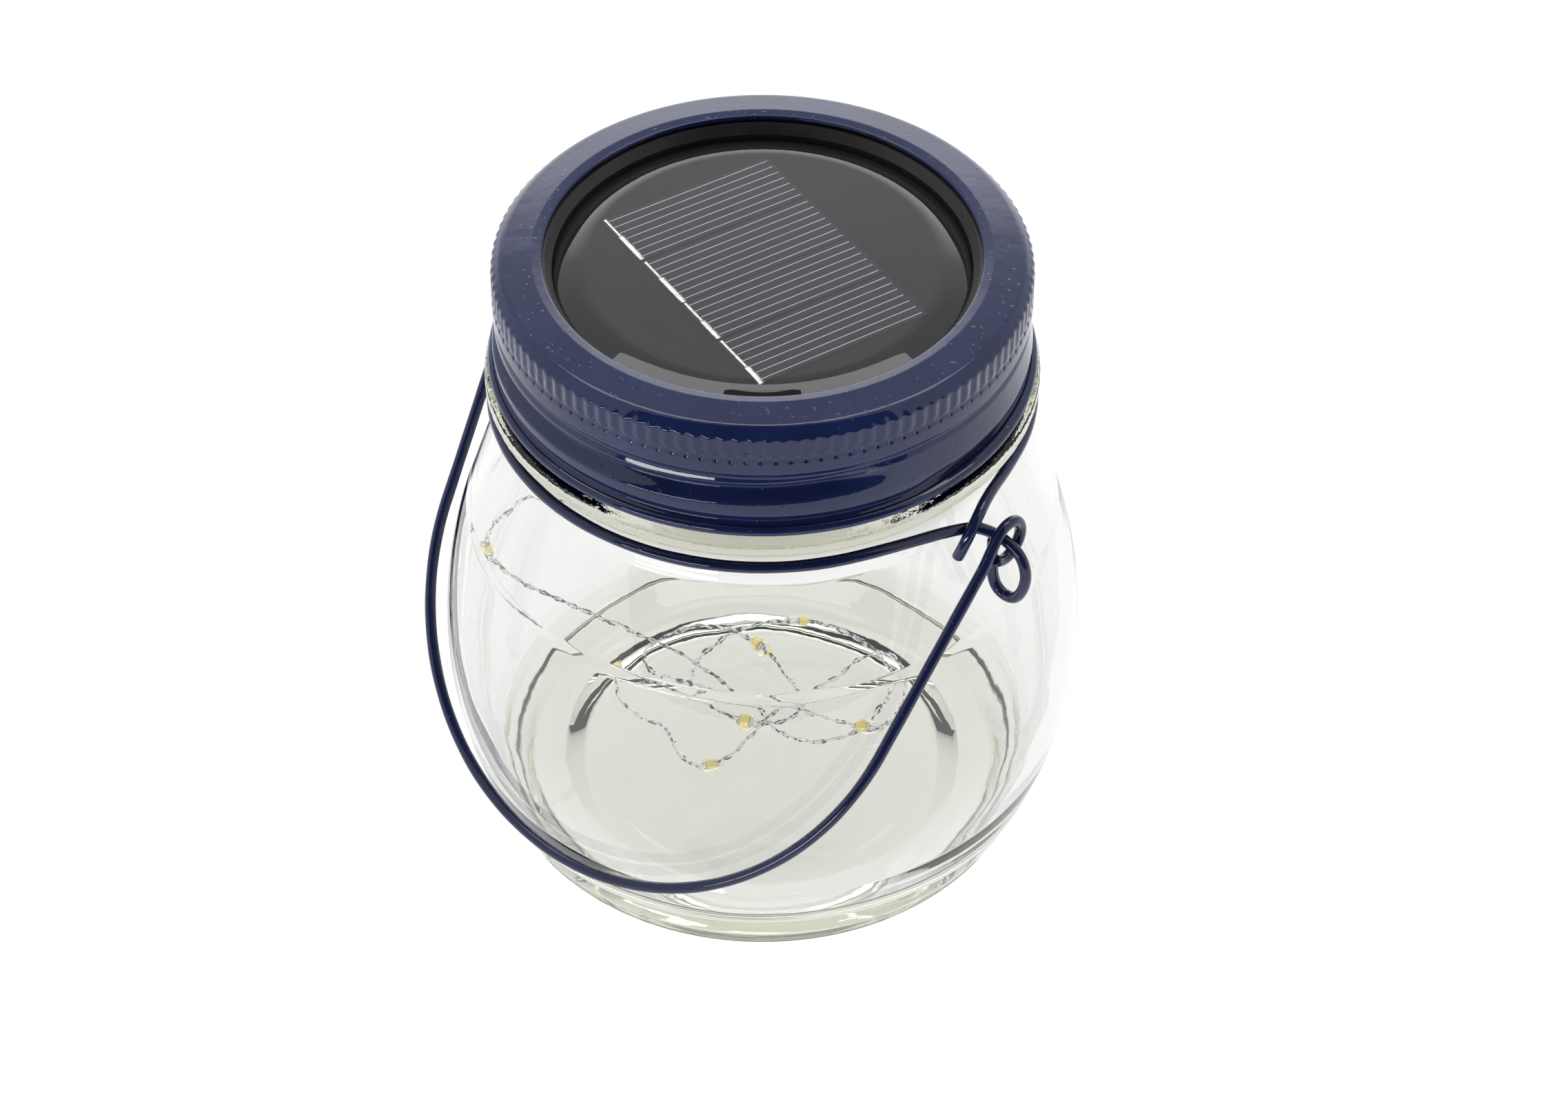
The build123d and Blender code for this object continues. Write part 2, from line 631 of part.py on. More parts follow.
# ---- build ---------------------------------------------------------------------------
GLASS = (0.85, 0.9, 0.88, 0.4)
NAVY = (0.12, 0.15, 0.27)
BLACK = (0.05, 0.05, 0.055)
SILVER = (0.78, 0.77, 0.72)
STEEL = (0.6, 0.6, 0.62)

os.makedirs("parts", exist_ok=True)
save("glass_jar", make_glass_jar(), GLASS)
neck_wire = make_neck_wire()
save("neck_wire_front", neck_wire, NAVY)
save("neck_wire_back", Rot(0, 0, 180) * neck_wire, NAVY)
save("bail_handle", make_bail(), NAVY)
save("screw_band", make_screw_band(), NAVY)
save("rim_gasket", ring(*GASKET_R, *GASKET_Z), (0.8, 0.8, 0.78))
save("panel_tray", make_panel_tray(), BLACK)
save("panel_backing", ring(0, PANEL_R, *BACKING_Z), (0.1, 0.1, 0.1))
save("solar_cells", make_solar_cells(), (0.1, 0.1, 0.16))
save("cell_busbars", make_busbars(), SILVER)
save("cell_fingers", make_fingers(), SILVER)
save("epoxy_cover", make_epoxy_cover(), (0.3, 0.3, 0.32, 0.4))
save("bottom_cover", make_bottom_cover(), BLACK)
save("cover_screws", make_cover_screws(), STEEL)
save("battery_cradle", make_battery_cradle(), BLACK)
save("battery", make_battery(), (0.15, 0.45, 0.25))
save("battery_contacts", make_battery_contacts(), STEEL)
save("battery_door", make_battery_door(), BLACK)
save("door_screw", make_door_screw(), STEEL)
save("circuit_board", make_circuit_board(), (0.05, 0.3, 0.12))
save("driver_chip", make_chip(), BLACK)
save("inductor", make_inductor(), (0.2, 0.2, 0.2))
save("panel_leads", make_panel_leads(), (0.6, 0.08, 0.06))
save("switch_body", make_switch_body(), STEEL)
save("switch_slider", make_switch_slider(), (0.85, 0.85, 0.83))
save("string_grommet", make_grommet(), BLACK)
save("light_string", make_light_string(), SILVER)
save("light_drops", make_light_drops(), (0.95, 0.93, 0.85, 0.6))
save("light_chips", make_light_chips(), (0.95, 0.8, 0.2))
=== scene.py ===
from math import acos, atan2, ceil, cos, hypot, pi, radians, sin, sqrt, tan

import bmesh
import bpy
import numpy as np
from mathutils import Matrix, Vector, noise


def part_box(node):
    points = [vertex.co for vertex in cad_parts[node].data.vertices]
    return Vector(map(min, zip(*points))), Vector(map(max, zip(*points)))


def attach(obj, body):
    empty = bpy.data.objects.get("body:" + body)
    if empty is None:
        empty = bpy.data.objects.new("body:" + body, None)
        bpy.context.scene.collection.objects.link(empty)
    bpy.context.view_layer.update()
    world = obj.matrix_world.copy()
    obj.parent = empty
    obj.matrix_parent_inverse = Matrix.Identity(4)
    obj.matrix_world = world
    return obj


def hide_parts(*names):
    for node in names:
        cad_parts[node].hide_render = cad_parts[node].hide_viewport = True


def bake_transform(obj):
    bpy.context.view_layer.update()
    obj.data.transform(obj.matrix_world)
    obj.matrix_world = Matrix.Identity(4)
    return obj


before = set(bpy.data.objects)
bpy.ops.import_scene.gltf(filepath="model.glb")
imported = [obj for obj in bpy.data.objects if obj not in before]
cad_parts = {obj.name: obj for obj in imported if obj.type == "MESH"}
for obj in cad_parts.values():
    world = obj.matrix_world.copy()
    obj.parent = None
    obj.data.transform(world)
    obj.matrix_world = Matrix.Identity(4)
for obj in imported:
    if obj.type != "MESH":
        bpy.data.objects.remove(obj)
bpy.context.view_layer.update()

# Sizes are in millimetres, in the CAD frame, and MM takes them to metres.
MM = 0.001


# ---- places and sizes from the frame -------------------------------------------------
def in_mm(node):
    """A CAD node's lowest and highest corner, in millimetres."""
    low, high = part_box(node)
    return low / MM, high / MM


jar_high = in_mm("glass_jar")[1]
band_low, band_high = in_mm("screw_band")
epoxy_high = in_mm("epoxy_cover")[1]
cells_low, cells_high = in_mm("solar_cells")
GLASS_TOP = jar_high.z
BELLY_R = jar_high.x
LID_TOP = band_high.z
LID_R = band_high.x
LID_BOTTOM = band_low.z

# The lid's own axes, in which the string and the panel are drawn, are turned on the jar.
LID_TURN = radians(40)
PANEL_TURN = radians(-57.8)
HINGE_X = 41.5
HINGE_Z = 69.0
WIRE_R = 0.8


def turned(points, angle):
    """Points turned about the jar's axis."""
    points = np.asarray(points, float)
    c, s = cos(angle), sin(angle)
    return points @ np.array([[c, s, 0], [-s, c, 0], [0, 0, 1]])


# ---- camera --------------------------------------------------------------------------
CAMERA_TARGET = Vector((0, 0, 0.04095))
CAMERA_DISTANCE = 0.640
CAMERA_ELEVATION = radians(42.87)
CAMERA_LENS = 106.1
CAMERA_SHIFT = 0.0137


def toward(azimuth, elevation):
    """The direction from the jar to a place that far round to the camera's right, and up."""
    round_jar = LID_TURN + azimuth
    return Vector((sin(round_jar) * cos(elevation), -cos(round_jar) * cos(elevation), sin(elevation)))


def make_camera():
    data = bpy.data.cameras.new("camera")
    data.lens = CAMERA_LENS
    data.shift_x = CAMERA_SHIFT
    camera = bpy.data.objects.new("camera", data)
    back = toward(0, CAMERA_ELEVATION)
    camera.location = CAMERA_TARGET + back * CAMERA_DISTANCE
    camera.rotation_euler = (-back).to_track_quat("-Z", "Y").to_euler()
    bpy.context.collection.objects.link(camera)
    bpy.context.scene.camera = camera


make_camera()


# ---- mesh helpers --------------------------------------------------------------------
def make_object(name, points, faces, material, body, slot, replaces=(), smooth=True):
    """A mesh piece from points in millimetres, which rides on a body."""
    mesh = bpy.data.meshes.new(name)
    mesh.from_pydata([tuple(p) for p in np.asarray(points) * MM], [], [tuple(f) for f in faces])
    mesh.update()
    mesh.polygons.foreach_set("use_smooth", [smooth] * len(mesh.polygons))
    piece = bpy.data.objects.new(name, mesh)
    bpy.context.collection.objects.link(piece)
    for each in material if isinstance(material, (list, tuple)) else [material]:
        mesh.materials.append(each)
    if body:
        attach(piece, body)
    if replaces:
        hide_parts(*replaces)
    return piece


def let_light_in(piece):
    """A clear piece throws no shadow, so what is in it or under it is lit evenly."""
    piece.visible_shadow = False
    piece.visible_diffuse = False


def joined(parts):
    """Several (points, faces) as one."""
    points, faces, start = [], [], 0
    for some_points, some_faces in parts:
        points.append(np.asarray(some_points, float))
        faces += [[i + start for i in face] for face in some_faces]
        start += len(some_points)
    return np.concatenate(points), faces


def rounded(corners, step=0.15):
    """An outline with each (r, z, radius) corner rounded by an arc, as points a step apart."""
    line = [np.array(corners[0][:2], float)]
    for before, here, after in zip(corners, corners[1:], corners[2:]):
        a, b, c = (np.array(p[:2], float) for p in (before, here, after))
        u, v = (a - b) / np.linalg.norm(a - b), (c - b) / np.linalg.norm(c - b)
        half = acos(np.clip(u @ v, -1, 1)) / 2
        if here[2] == 0 or half > pi / 2 - 1e-4:
            line.append(b)
            continue
        middle = b + (u + v) / np.linalg.norm(u + v) * here[2] / sin(half)
        start, end = (b + w * here[2] / tan(half) - middle for w in (u, v))
        first = atan2(start[1], start[0])
        sweep = atan2(end[1], end[0]) - first
        sweep -= 2 * pi * round(sweep / (2 * pi))
        count = max(3, ceil(abs(sweep) * here[2] / step))
        for i in range(count + 1):
            turn = first + sweep * i / count
            line.append(middle + here[2] * np.array([cos(turn), sin(turn)]))
    line.append(np.array(corners[-1][:2], float))
    return line


def filled_in(line, step):
    """The line with more points along its long straight runs."""
    out = [line[0]]
    for a, b in zip(line, line[1:]):
        count = max(1, ceil(np.linalg.norm(b - a) / step))
        out += [a + (b - a) * i / count for i in range(1, count + 1)]
    return out


def lathe(outline, segments, shape=None, closed=True):
    """An outline of (r, z) points turned round the axis, and where shape is given, r changed by it."""
    outline = np.asarray(outline, float)
    turns = np.arange(segments) * 2 * pi / segments
    count = len(outline)
    radius = np.repeat(outline[None, :, 0], segments, axis=0)
    height = np.repeat(outline[None, :, 1], segments, axis=0)
    if shape is not None:
        radius = radius + shape(turns[:, None], outline[None, :, 1], outline[None, :, 0])
    points = np.stack([radius * np.cos(turns)[:, None], radius * np.sin(turns)[:, None], height], axis=2)
    faces = []
    for i in range(segments):
        a, b = i * count, (i + 1) % segments * count
        for j in range(count if closed else count - 1):
            k = (j + 1) % count
            faces.append((a + j, b + j, b + k, a + k))
    return points.reshape(-1, 3), faces


def welded(points, faces, apart=1e-4):
    """The same mesh with points on the axis made one, and faces that shrink to nothing left out."""
    mesh = bmesh.new()
    made = [mesh.verts.new(p) for p in points]
    for face in faces:
        mesh.faces.new([made[i] for i in face])
    bmesh.ops.remove_doubles(mesh, verts=mesh.verts, dist=apart)
    bmesh.ops.recalc_face_normals(mesh, faces=mesh.faces)
    mesh.verts.index_update()
    out = [tuple(v.co) for v in mesh.verts], [[v.index for v in f.verts] for f in mesh.faces]
    mesh.free()
    return out


def smooth_line(route, closeness=12):
    """Points, in millimetres, along the quadratic NURBS spline that has the route as its control points."""
    data = bpy.data.curves.new("line", "CURVE")
    data.dimensions = "3D"
    spline = data.splines.new("NURBS")
    spline.points.add(len(route) - 1)
    for point, place in zip(spline.points, route):
        point.co = (*(float(x) * MM for x in place), 1)
    spline.order_u = 3
    spline.use_endpoint_u = True
    spline.resolution_u = closeness
    holder = bpy.data.objects.new("line", data)
    mesh = bpy.data.meshes.new_from_object(holder)
    line = np.array([v.co for v in mesh.vertices], float) / MM
    bpy.data.meshes.remove(mesh)
    bpy.data.curves.remove(data)
    return line


def spaced(line, step):
    """The same line with points a step apart."""
    line = np.asarray(line, float)
    along = np.concatenate([[0], np.cumsum(np.linalg.norm(np.diff(line, axis=0), axis=1))])
    at = np.linspace(0, along[-1], max(2, ceil(along[-1] / step) + 1))
    return np.stack([np.interp(at, along, line[:, k]) for k in range(3)], axis=1)


def frames_along(line):
    """Two unit vectors across the line at each point, which turn as little as they can."""
    tangents = np.gradient(line, axis=0)
    tangents /= np.linalg.norm(tangents, axis=1)[:, None]
    across = np.cross(tangents[0], (0, 0, 1) if abs(tangents[0][2]) < 0.9 else (1, 0, 0))
    normals = []
    for tangent in tangents:
        across = across - tangent * (across @ tangent)
        across = across / np.linalg.norm(across)
        normals.append(across)
    normals = np.array(normals)
    return normals, np.cross(tangents, normals), tangents


def tube(line, radius, sides, chamfer=0.0):
    """A tube along a line. radius is a number or one for each point, and its cut ends are chamfered."""
    line = np.asarray(line, float)
    normals, others, tangents = frames_along(line)
    radii = np.broadcast_to(radius, len(line)).astype(float).copy()
    if chamfer:
        line = np.concatenate([[line[0]], line, [line[-1]]])
        normals, others = (np.concatenate([[v[0]], v, [v[-1]]]) for v in (normals, others))
        radii = np.concatenate([[radii[0] - chamfer], radii, [radii[-1] - chamfer]])
        line[1] += tangents[0] * chamfer
        line[-2] -= tangents[-1] * chamfer
    turns = np.arange(sides) * 2 * pi / sides
    ring = normals[:, None] * np.cos(turns)[None, :, None] + others[:, None] * np.sin(turns)[None, :, None]
    points = (line[:, None] + ring * radii[:, None, None]).reshape(-1, 3)
    faces = []
    for i in range(len(line) - 1):
        for j in range(sides):
            k = (j + 1) % sides
            faces.append((i * sides + j, i * sides + k, (i + 1) * sides + k, (i + 1) * sides + j))
    ends = [len(points), len(points) + 1]
    points = np.concatenate([points, [line[0], line[-1]]])
    last = (len(line) - 1) * sides
    for j in range(sides):
        k = (j + 1) % sides
        faces += [(ends[0], k, j), (ends[1], last + j, last + k)]
    return points, faces


# ---- materials -----------------------------------------------------------------------
def new_material(name, colour, roughness, **sockets):
    """A material with its shader's own sockets set."""
    material = bpy.data.materials.new(name)
    material.use_nodes = True
    shader = material.node_tree.nodes["Principled BSDF"]
    shader.inputs["Base Color"].default_value = (*colour, 1)
    shader.inputs["Roughness"].default_value = roughness
    for socket, value in sockets.items():
        shader.inputs[socket.replace("_", " ")].default_value = value
    return material


def add_node(material, kind, **settings):
    node = material.node_tree.nodes.new(kind)
    for key, value in settings.items():
        if key in node.inputs:
            node.inputs[key].default_value = value
        else:
            setattr(node, key, value)
    return node


def link(material, source, target):
    material.node_tree.links.new(source, target)


def object_coordinates(material):
    return add_node(material, "ShaderNodeTexCoord").outputs["Object"]


def add_noise(material, scale, detail=3.0, stretch=(1, 1, 1)):
    """Noise in the object's own coordinates, at scale features a metre."""
    mapping = add_node(material, "ShaderNodeMapping")
    mapping.inputs["Scale"].default_value = stretch
    link(material, object_coordinates(material), mapping.inputs["Vector"])
    texture = add_node(material, "ShaderNodeTexNoise", Scale=scale, Detail=detail)
    link(material, mapping.outputs["Vector"], texture.inputs["Vector"])
    return texture.outputs["Fac"]


def add_ramp(material, value, stops):
    """A colour ramp of (place, colour) stops on a value."""
    ramp = add_node(material, "ShaderNodeValToRGB")
    while len(ramp.color_ramp.elements) < len(stops):
        ramp.color_ramp.elements.new(0.5)
    for element, (place, colour) in zip(ramp.color_ramp.elements, stops):
        element.position = place
        element.color = (*colour, 1)
    link(material, value, ramp.inputs["Fac"])
    return ramp.outputs["Color"]


def add_bumps(material, layers, coat=False):
    """Bump from several (value, strength, distance in metres) layers, one over the other."""
    shader = material.node_tree.nodes["Principled BSDF"]
    below = None
    for value, strength, distance in layers:
        bump = add_node(material, "ShaderNodeBump", Strength=strength, Distance=distance)
        link(material, value, bump.inputs["Height"])
        if below is not None:
            link(material, below, bump.inputs["Normal"])
        below = bump.outputs["Normal"]
    link(material, below, shader.inputs["Normal"])
    if coat:
        link(material, below, shader.inputs["Coat Normal"])


def shader_input(material, name):
    return material.node_tree.nodes["Principled BSDF"].inputs[name]


def grey(value):
    return (value, value, value)


def paint(name, colour, peel):
    """Glossy stoved enamel: orange peel, dust nibs under the gloss, and slightly uneven colour."""
    material = new_material(name, colour, 0.6, Coat_Weight=1.0, Coat_Roughness=0.05, Specular_IOR_Level=0.0)
    patches = add_noise(material, 140, 4)
    darker, lighter = (tuple(c * k for c in colour) for k in (0.85, 1.16))
    tint = add_ramp(material, patches, [(0.3, darker), (0.7, lighter)])
    link(material, tint, shader_input(material, "Base Color"))
    nibs = add_ramp(material, add_noise(material, 1500, 1), [(0.70, grey(0)), (0.78, grey(1))])
    add_bumps(material, [
        (add_noise(material, 420, 2), peel, 0.00022),
        (add_noise(material, 90, 1), peel, 0.0006),
        (nibs, 0.35, 0.00012),
    ], coat=True)
    return material


def only_between(material, value, low, high, blur):
    """The value at heights between low and high, and nothing at others."""
    height = add_node(material, "ShaderNodeSeparateXYZ")
    link(material, object_coordinates(material), height.inputs["Vector"])
    for edge, start, end in ((low, 0.0, 1.0), (high, 1.0, 0.0)):
        ends = {"From Min": edge - blur, "From Max": edge + blur, "To Min": start, "To Max": end}
        share = add_node(material, "ShaderNodeMapRange", **ends)
        link(material, height.outputs["Z"], share.inputs["Value"])
        times = add_node(material, "ShaderNodeMath", operation="MULTIPLY")
        link(material, value, times.inputs[0])
        link(material, share.outputs["Result"], times.inputs[1])
        value = times.outputs["Value"]
    return value


GLASS_CLEAR = (0.925, 0.925, 0.929)
GLASS_FOOT = (0.72, 0.73, 0.66)
GLASS_BEAD = (0.60, 0.60, 0.51)
# Each tint and how far up the glass it is, as a share of the glass's height.
GLASS_TINTS = [
    (0.05, GLASS_FOOT), (0.13, GLASS_CLEAR), (0.77, GLASS_CLEAR),
    (0.80, GLASS_BEAD), (0.84, GLASS_BEAD), (0.88, GLASS_CLEAR),
]
MOTTLE_FROM = 0.0745
MOTTLE_TO = 0.0785
MOTTLE_BLUR = 0.0006


def glass():
    """Pressed soda glass: clear, a little wavy, green at its foot and bead, and mottled on its bead."""
    material = new_material("glass", GLASS_CLEAR, 0.0, IOR=1.5, Transmission_Weight=1.0)
    height = add_node(material, "ShaderNodeSeparateXYZ")
    link(material, object_coordinates(material), height.inputs["Vector"])
    share = add_node(material, "ShaderNodeMapRange", **{"From Max": GLASS_TOP * MM})
    link(material, height.outputs["Z"], share.inputs["Value"])
    tint = add_ramp(material, share.outputs["Result"], GLASS_TINTS)
    link(material, tint, shader_input(material, "Base Color"))
    specks = add_noise(material, 900, 3, (1, 1, 1.8))
    mottle = only_between(material, specks, MOTTLE_FROM, MOTTLE_TO, MOTTLE_BLUR)
    add_bumps(material, [
        (add_noise(material, 55, 1, (1, 1, 0.55)), 0.06, 0.0012),
        (add_noise(material, 260, 2), 0.02, 0.0004),
        (mottle, 0.35, 0.0003),
    ])
    absorb = add_node(material, "ShaderNodeVolumeAbsorption", Density=9.0)
    absorb.inputs["Color"].default_value = (0.46, 0.50, 0.16, 1)
    output = material.node_tree.nodes["Material Output"]
    link(material, absorb.outputs["Volume"], output.inputs["Volume"])
    return material


def moulded(name, colour, roughness=0.45, grain=0.12):
    """Moulded plastic with a fine spark texture."""
    material = new_material(name, colour, roughness)
    grain_noise = add_noise(material, 2600, 2)
    lighter = tuple(min(1, c * 1.25 + 0.004) for c in colour)
    link(material, add_ramp(material, add_noise(material, 300, 3), [(0.3, colour), (0.8, lighter)]),
         shader_input(material, "Base Color"))
    low, high = grey(roughness - 0.07), grey(roughness + 0.09)
    uneven = add_ramp(material, grain_noise, [(0.3, low), (0.7, high)])
    link(material, uneven, shader_input(material, "Roughness"))
    add_bumps(material, [(grain_noise, grain, 0.00008)])
    return material


def metal(name, colour, roughness, streak=(1, 1, 1), tarnish=0.75):
    """Bare metal, with tarnish in patches and fine streaks."""
    material = new_material(name, colour, roughness, Metallic=1.0)
    dull = tuple(c * tarnish for c in colour)
    patches = add_noise(material, 700, 4)
    tint = add_ramp(material, patches, [(0.35, dull), (0.65, colour)])
    link(material, tint, shader_input(material, "Base Color"))
    streaks = add_noise(material, 2200, 3, streak)
    low, high = grey(max(0.05, roughness - 0.1)), grey(roughness + 0.12)
    uneven = add_ramp(material, streaks, [(0.3, low), (0.7, high)])
    link(material, uneven, shader_input(material, "Roughness"))
    add_bumps(material, [(streaks, 0.15, 0.00005)])
    return material


def resin(name, tint, roughness, ripple):
    """Clear cast resin with soft ripples in its skin."""
    material = new_material(name, tint, roughness, IOR=1.5, Transmission_Weight=1.0)
    add_bumps(material, [(add_noise(material, 60, 1), ripple, 0.0003)])
    return material


def silicon():
    """A solar cell's face: dark, faintly blue and violet, in large soft crystals."""
    material = new_material("silicon", (0.02, 0.02, 0.03), 0.6, Specular_IOR_Level=0.1)
    crystals = add_node(material, "ShaderNodeTexVoronoi", Scale=330)
    link(material, object_coordinates(material), crystals.inputs["Vector"])
    tint = add_ramp(material, crystals.outputs["Distance"], [
        (0.0, (0.020, 0.020, 0.030)), (0.5, (0.026, 0.024, 0.036)), (1.0, (0.023, 0.025, 0.040)),
    ])
    link(material, tint, shader_input(material, "Base Color"))
    return material


def circuit_green():
    """Solder mask over faint copper tracks."""
    material = new_material("solder_mask", (0.01, 0.12, 0.05), 0.3)
    tracks = add_node(material, "ShaderNodeTexBrick", Scale=600)
    link(material, object_coordinates(material), tracks.inputs["Vector"])
    tracks.inputs["Color1"].default_value = (0.010, 0.13, 0.05, 1)
    tracks.inputs["Color2"].default_value = (0.014, 0.16, 0.06, 1)
    tracks.inputs["Mortar"].default_value = (0.03, 0.22, 0.09, 1)
    link(material, tracks.outputs["Color"], shader_input(material, "Base Color"))
    add_bumps(material, [(tracks.outputs["Fac"], 0.3, 0.00006)])
    return material


def flecked_silver():
    """The string's lacquered wire: silver white, with short dark flecks."""
    material = new_material("string_wire", (0.9, 0.88, 0.87), 0.3, Metallic=0.35)
    dark, light = (0.16, 0.155, 0.16), (0.93, 0.90, 0.89)
    flecks = add_ramp(material, add_noise(material, 1300, 2), [(0.43, dark), (0.50, light)])
    link(material, flecks, shader_input(material, "Base Color"))
    return material


def matt_black():
    """The printed board behind the cells, with a faint cloudiness."""
    material = new_material("backing_board", grey(0.02), 1.0, Specular_IOR_Level=0.0)
    cloud = add_ramp(material, add_noise(material, 120, 2), [(0.3, grey(0.019)), (0.7, grey(0.023))])
    link(material, cloud, shader_input(material, "Base Color"))
    return material


NAVY = (0.010, 0.019, 0.082)
GLASS = glass()
BAND_PAINT = paint("band_enamel", NAVY, 0.16)
WIRE_PAINT = paint("wire_enamel", (0.010, 0.016, 0.066), 0.10)
BLACK = moulded("black_plastic", (0.012, 0.012, 0.013))
WHITE = moulded("white_plastic", (0.75, 0.75, 0.71))
GASKET = moulded("gasket_rubber", (0.55, 0.54, 0.5), 0.6, 0.3)
BOARD = circuit_green()
FERRITE = moulded("ferrite", (0.03, 0.03, 0.032), 0.6, 0.4)
LEADS = moulded("lead_insulation", (0.35, 0.02, 0.015), 0.4, 0.1)
SLEEVE = moulded("battery_sleeve", (0.03, 0.22, 0.09), 0.25, 0.03)
STEEL = metal("plated_steel", (0.62, 0.62, 0.64), 0.3)
TINNED = metal("tinned_copper", (0.86, 0.83, 0.76), 0.32)
PRINTED = moulded("printed_silver", (0.60, 0.60, 0.60), 0.5, 0.0)
STRING_WIRE = flecked_silver()
EPOXY = resin("cast_epoxy", (0.96, 0.96, 0.97), 0.0, 0.01)
DROP = resin("drop_resin", (1.0, 0.99, 0.95), 0.12, 0.05)
BACKING = matt_black()
SILICON = silicon()


# ---- light string --------------------------------------------------------------------
STRING_EXIT = (-16.0, 3.0, 73.6)
STRING_ROUTE = [
    STRING_EXIT, (-16.0, 3.0, 69.6), (-18.0, 3.0, 64.8), (-22.5, 2.8, 59.2),
    (-28.6, 2.6, 53.6), (-34.6, 2.6, 48.6), (-38.3, 2.9, 42.9), (-37.0, 4.0, 36.6),
    (-31.6, 5.8, 30.8), (-25.2, 7.6, 24.9), (-18.6, 9.8, 18.8), (-12.9, 12.0, 13.2),
    (-8.4, 12.2, 9.0), (-4.0, 8.6, 7.75), (-0.4, 3.2, 7.75), (2.4, -1.5, 7.75),
    (7.6, -3.6, 7.75), (13.4, -1.2, 7.75), (17.5, 4.0, 7.75), (19.6, 9.8, 7.75),
    (18.0, 15.7, 7.8), (14.0, 20.4, 8.1), (8.4, 22.9, 8.55), (1.9, 23.0, 8.55),
    (-4.6, 21.1, 7.9), (-9.0, 16.8, 7.75), (-10.7, 11.4, 7.75), (-9.4, 5.8, 7.8),
    (-5.4, 1.7, 8.3), (0.0, -0.6, 8.95), (4.6, 0.3, 9.0), (6.6, 4.4, 8.9),
    (4.4, 9.4, 8.7), (1.4, 14.8, 8.7), (-2.4, 19.0, 9.1), (-7.6, 21.6, 9.0),
    (-13.4, 20.2, 8.2), (-17.4, 16.4, 8.0), (-16.0, 12.2, 8.3), (-11.2, 9.6, 8.95),
    (-5.0, 7.4, 9.0), (1.4, 5.2, 8.4), (7.4, 2.6, 7.85), (13.0, -0.6, 8.9),
    (17.6, -0.9, 8.9), (20.4, 4.0, 8.3), (21.6, 10.6, 8.4), (19.2, 16.4, 8.9),
    (14.6, 15.4, 9.0), (11.4, 11.0, 9.1), (7.0, 6.2, 10.0), (2.6, 1.8, 10.3),
    (-1.6, -2.8, 9.8), (-5.2, -6.9, 8.6), (-9.9, -8.6, 8.55), (-12.6, -4.4, 8.0),
    (-13.4, -0.2, 7.8), (-17.4, 1.8, 7.8), (-20.8, 5.0, 8.0), (-21.6, 9.6, 8.55),
    (-20.6, 14.2, 8.6),
]
LIGHT_RUNS = (6, 22, 28, 33, 43, 53, 59)
STRING_WIDE = 0.8
STRAND_R = 0.14
STRAND_TWIST = 5.2
DROP_LONG = 4.2
DROP_R = 1.12
CHIP_SIZE = (1.3, 1.1, 0.7)
SOLDER_SIZE = (0.5, 0.75, 0.5)
SOLDER_FROM_CHIP = 0.85
# How far each chip sits from its drop's middle, along the string.
CHIP_OFFSETS = (-1.1, -1.1, 0.0, 1.1, -1.1, 0.0, 1.1)


def make_light_string():
    """Two fine wires that twist loosely round each other along the route."""
    line = spaced(turned(smooth_line(STRING_ROUTE), LID_TURN), 0.3)
    normals, others, _ = frames_along(line)
    along = np.arange(len(line)) * 0.3
    parts = []
    for strand in range(2):
        turn = 2 * pi * along / STRAND_TWIST + pi * strand
        turn = turn + 0.9 * np.sin(along / 7.3 + strand)
        apart = (STRING_WIDE / 2 - STRAND_R) * (0.80 + 0.2 * np.sin(along / 5.1 + 2 * strand))
        offset = normals * np.cos(turn)[:, None] + others * np.sin(turn)[:, None]
        parts.append(tube(line + offset * apart[:, None], STRAND_R, 8))
    points, faces = joined(parts)
    string = make_object(
        "light_string_wires", points, faces, STRING_WIRE, None, "string_wire", ["light_string"],
    )
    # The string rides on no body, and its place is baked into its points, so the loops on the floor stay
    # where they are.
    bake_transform(string)
    return string, line


def light_places():
    """Each light's middle and the string's direction there."""
    route = turned(STRING_ROUTE, LID_TURN)
    return [((route[run] + route[run + 1]) / 2, route[run + 1] - route[run]) for run in LIGHT_RUNS]


def drop_shape(place, direction, seed):
    """A bead of resin that thins to the wires at both ends, a little fuller at one."""
    steps = 18
    shares = [i / steps for i in range(steps + 1)]
    line = np.array([place + direction * DROP_LONG * (share - 0.5) for share in shares])
    radii = []
    for share in shares:
        full = sin(pi * share) ** 0.62
        lean = 1 + 0.12 * sin(2 * pi * share + seed)
        radii.append(max(0.18, DROP_R * full * lean / 1.12))
    return tube(line, np.array(radii), 20)


def block(place, directions, size):
    """A box with bevelled edges on given axes."""
    mesh = bmesh.new()
    bmesh.ops.create_cube(mesh, size=1)
    for vert in mesh.verts:
        vert.co = Vector([c * s for c, s in zip(vert.co, size)])
    bmesh.ops.bevel(mesh, geom=mesh.edges[:], offset=min(size) * 0.14, segments=2, affect="EDGES")
    mesh.verts.index_update()
    points = np.array([v.co for v in mesh.verts]) @ np.array(directions) + place
    faces = [[v.index for v in f.verts] for f in mesh.faces]
    mesh.free()
    return points, faces


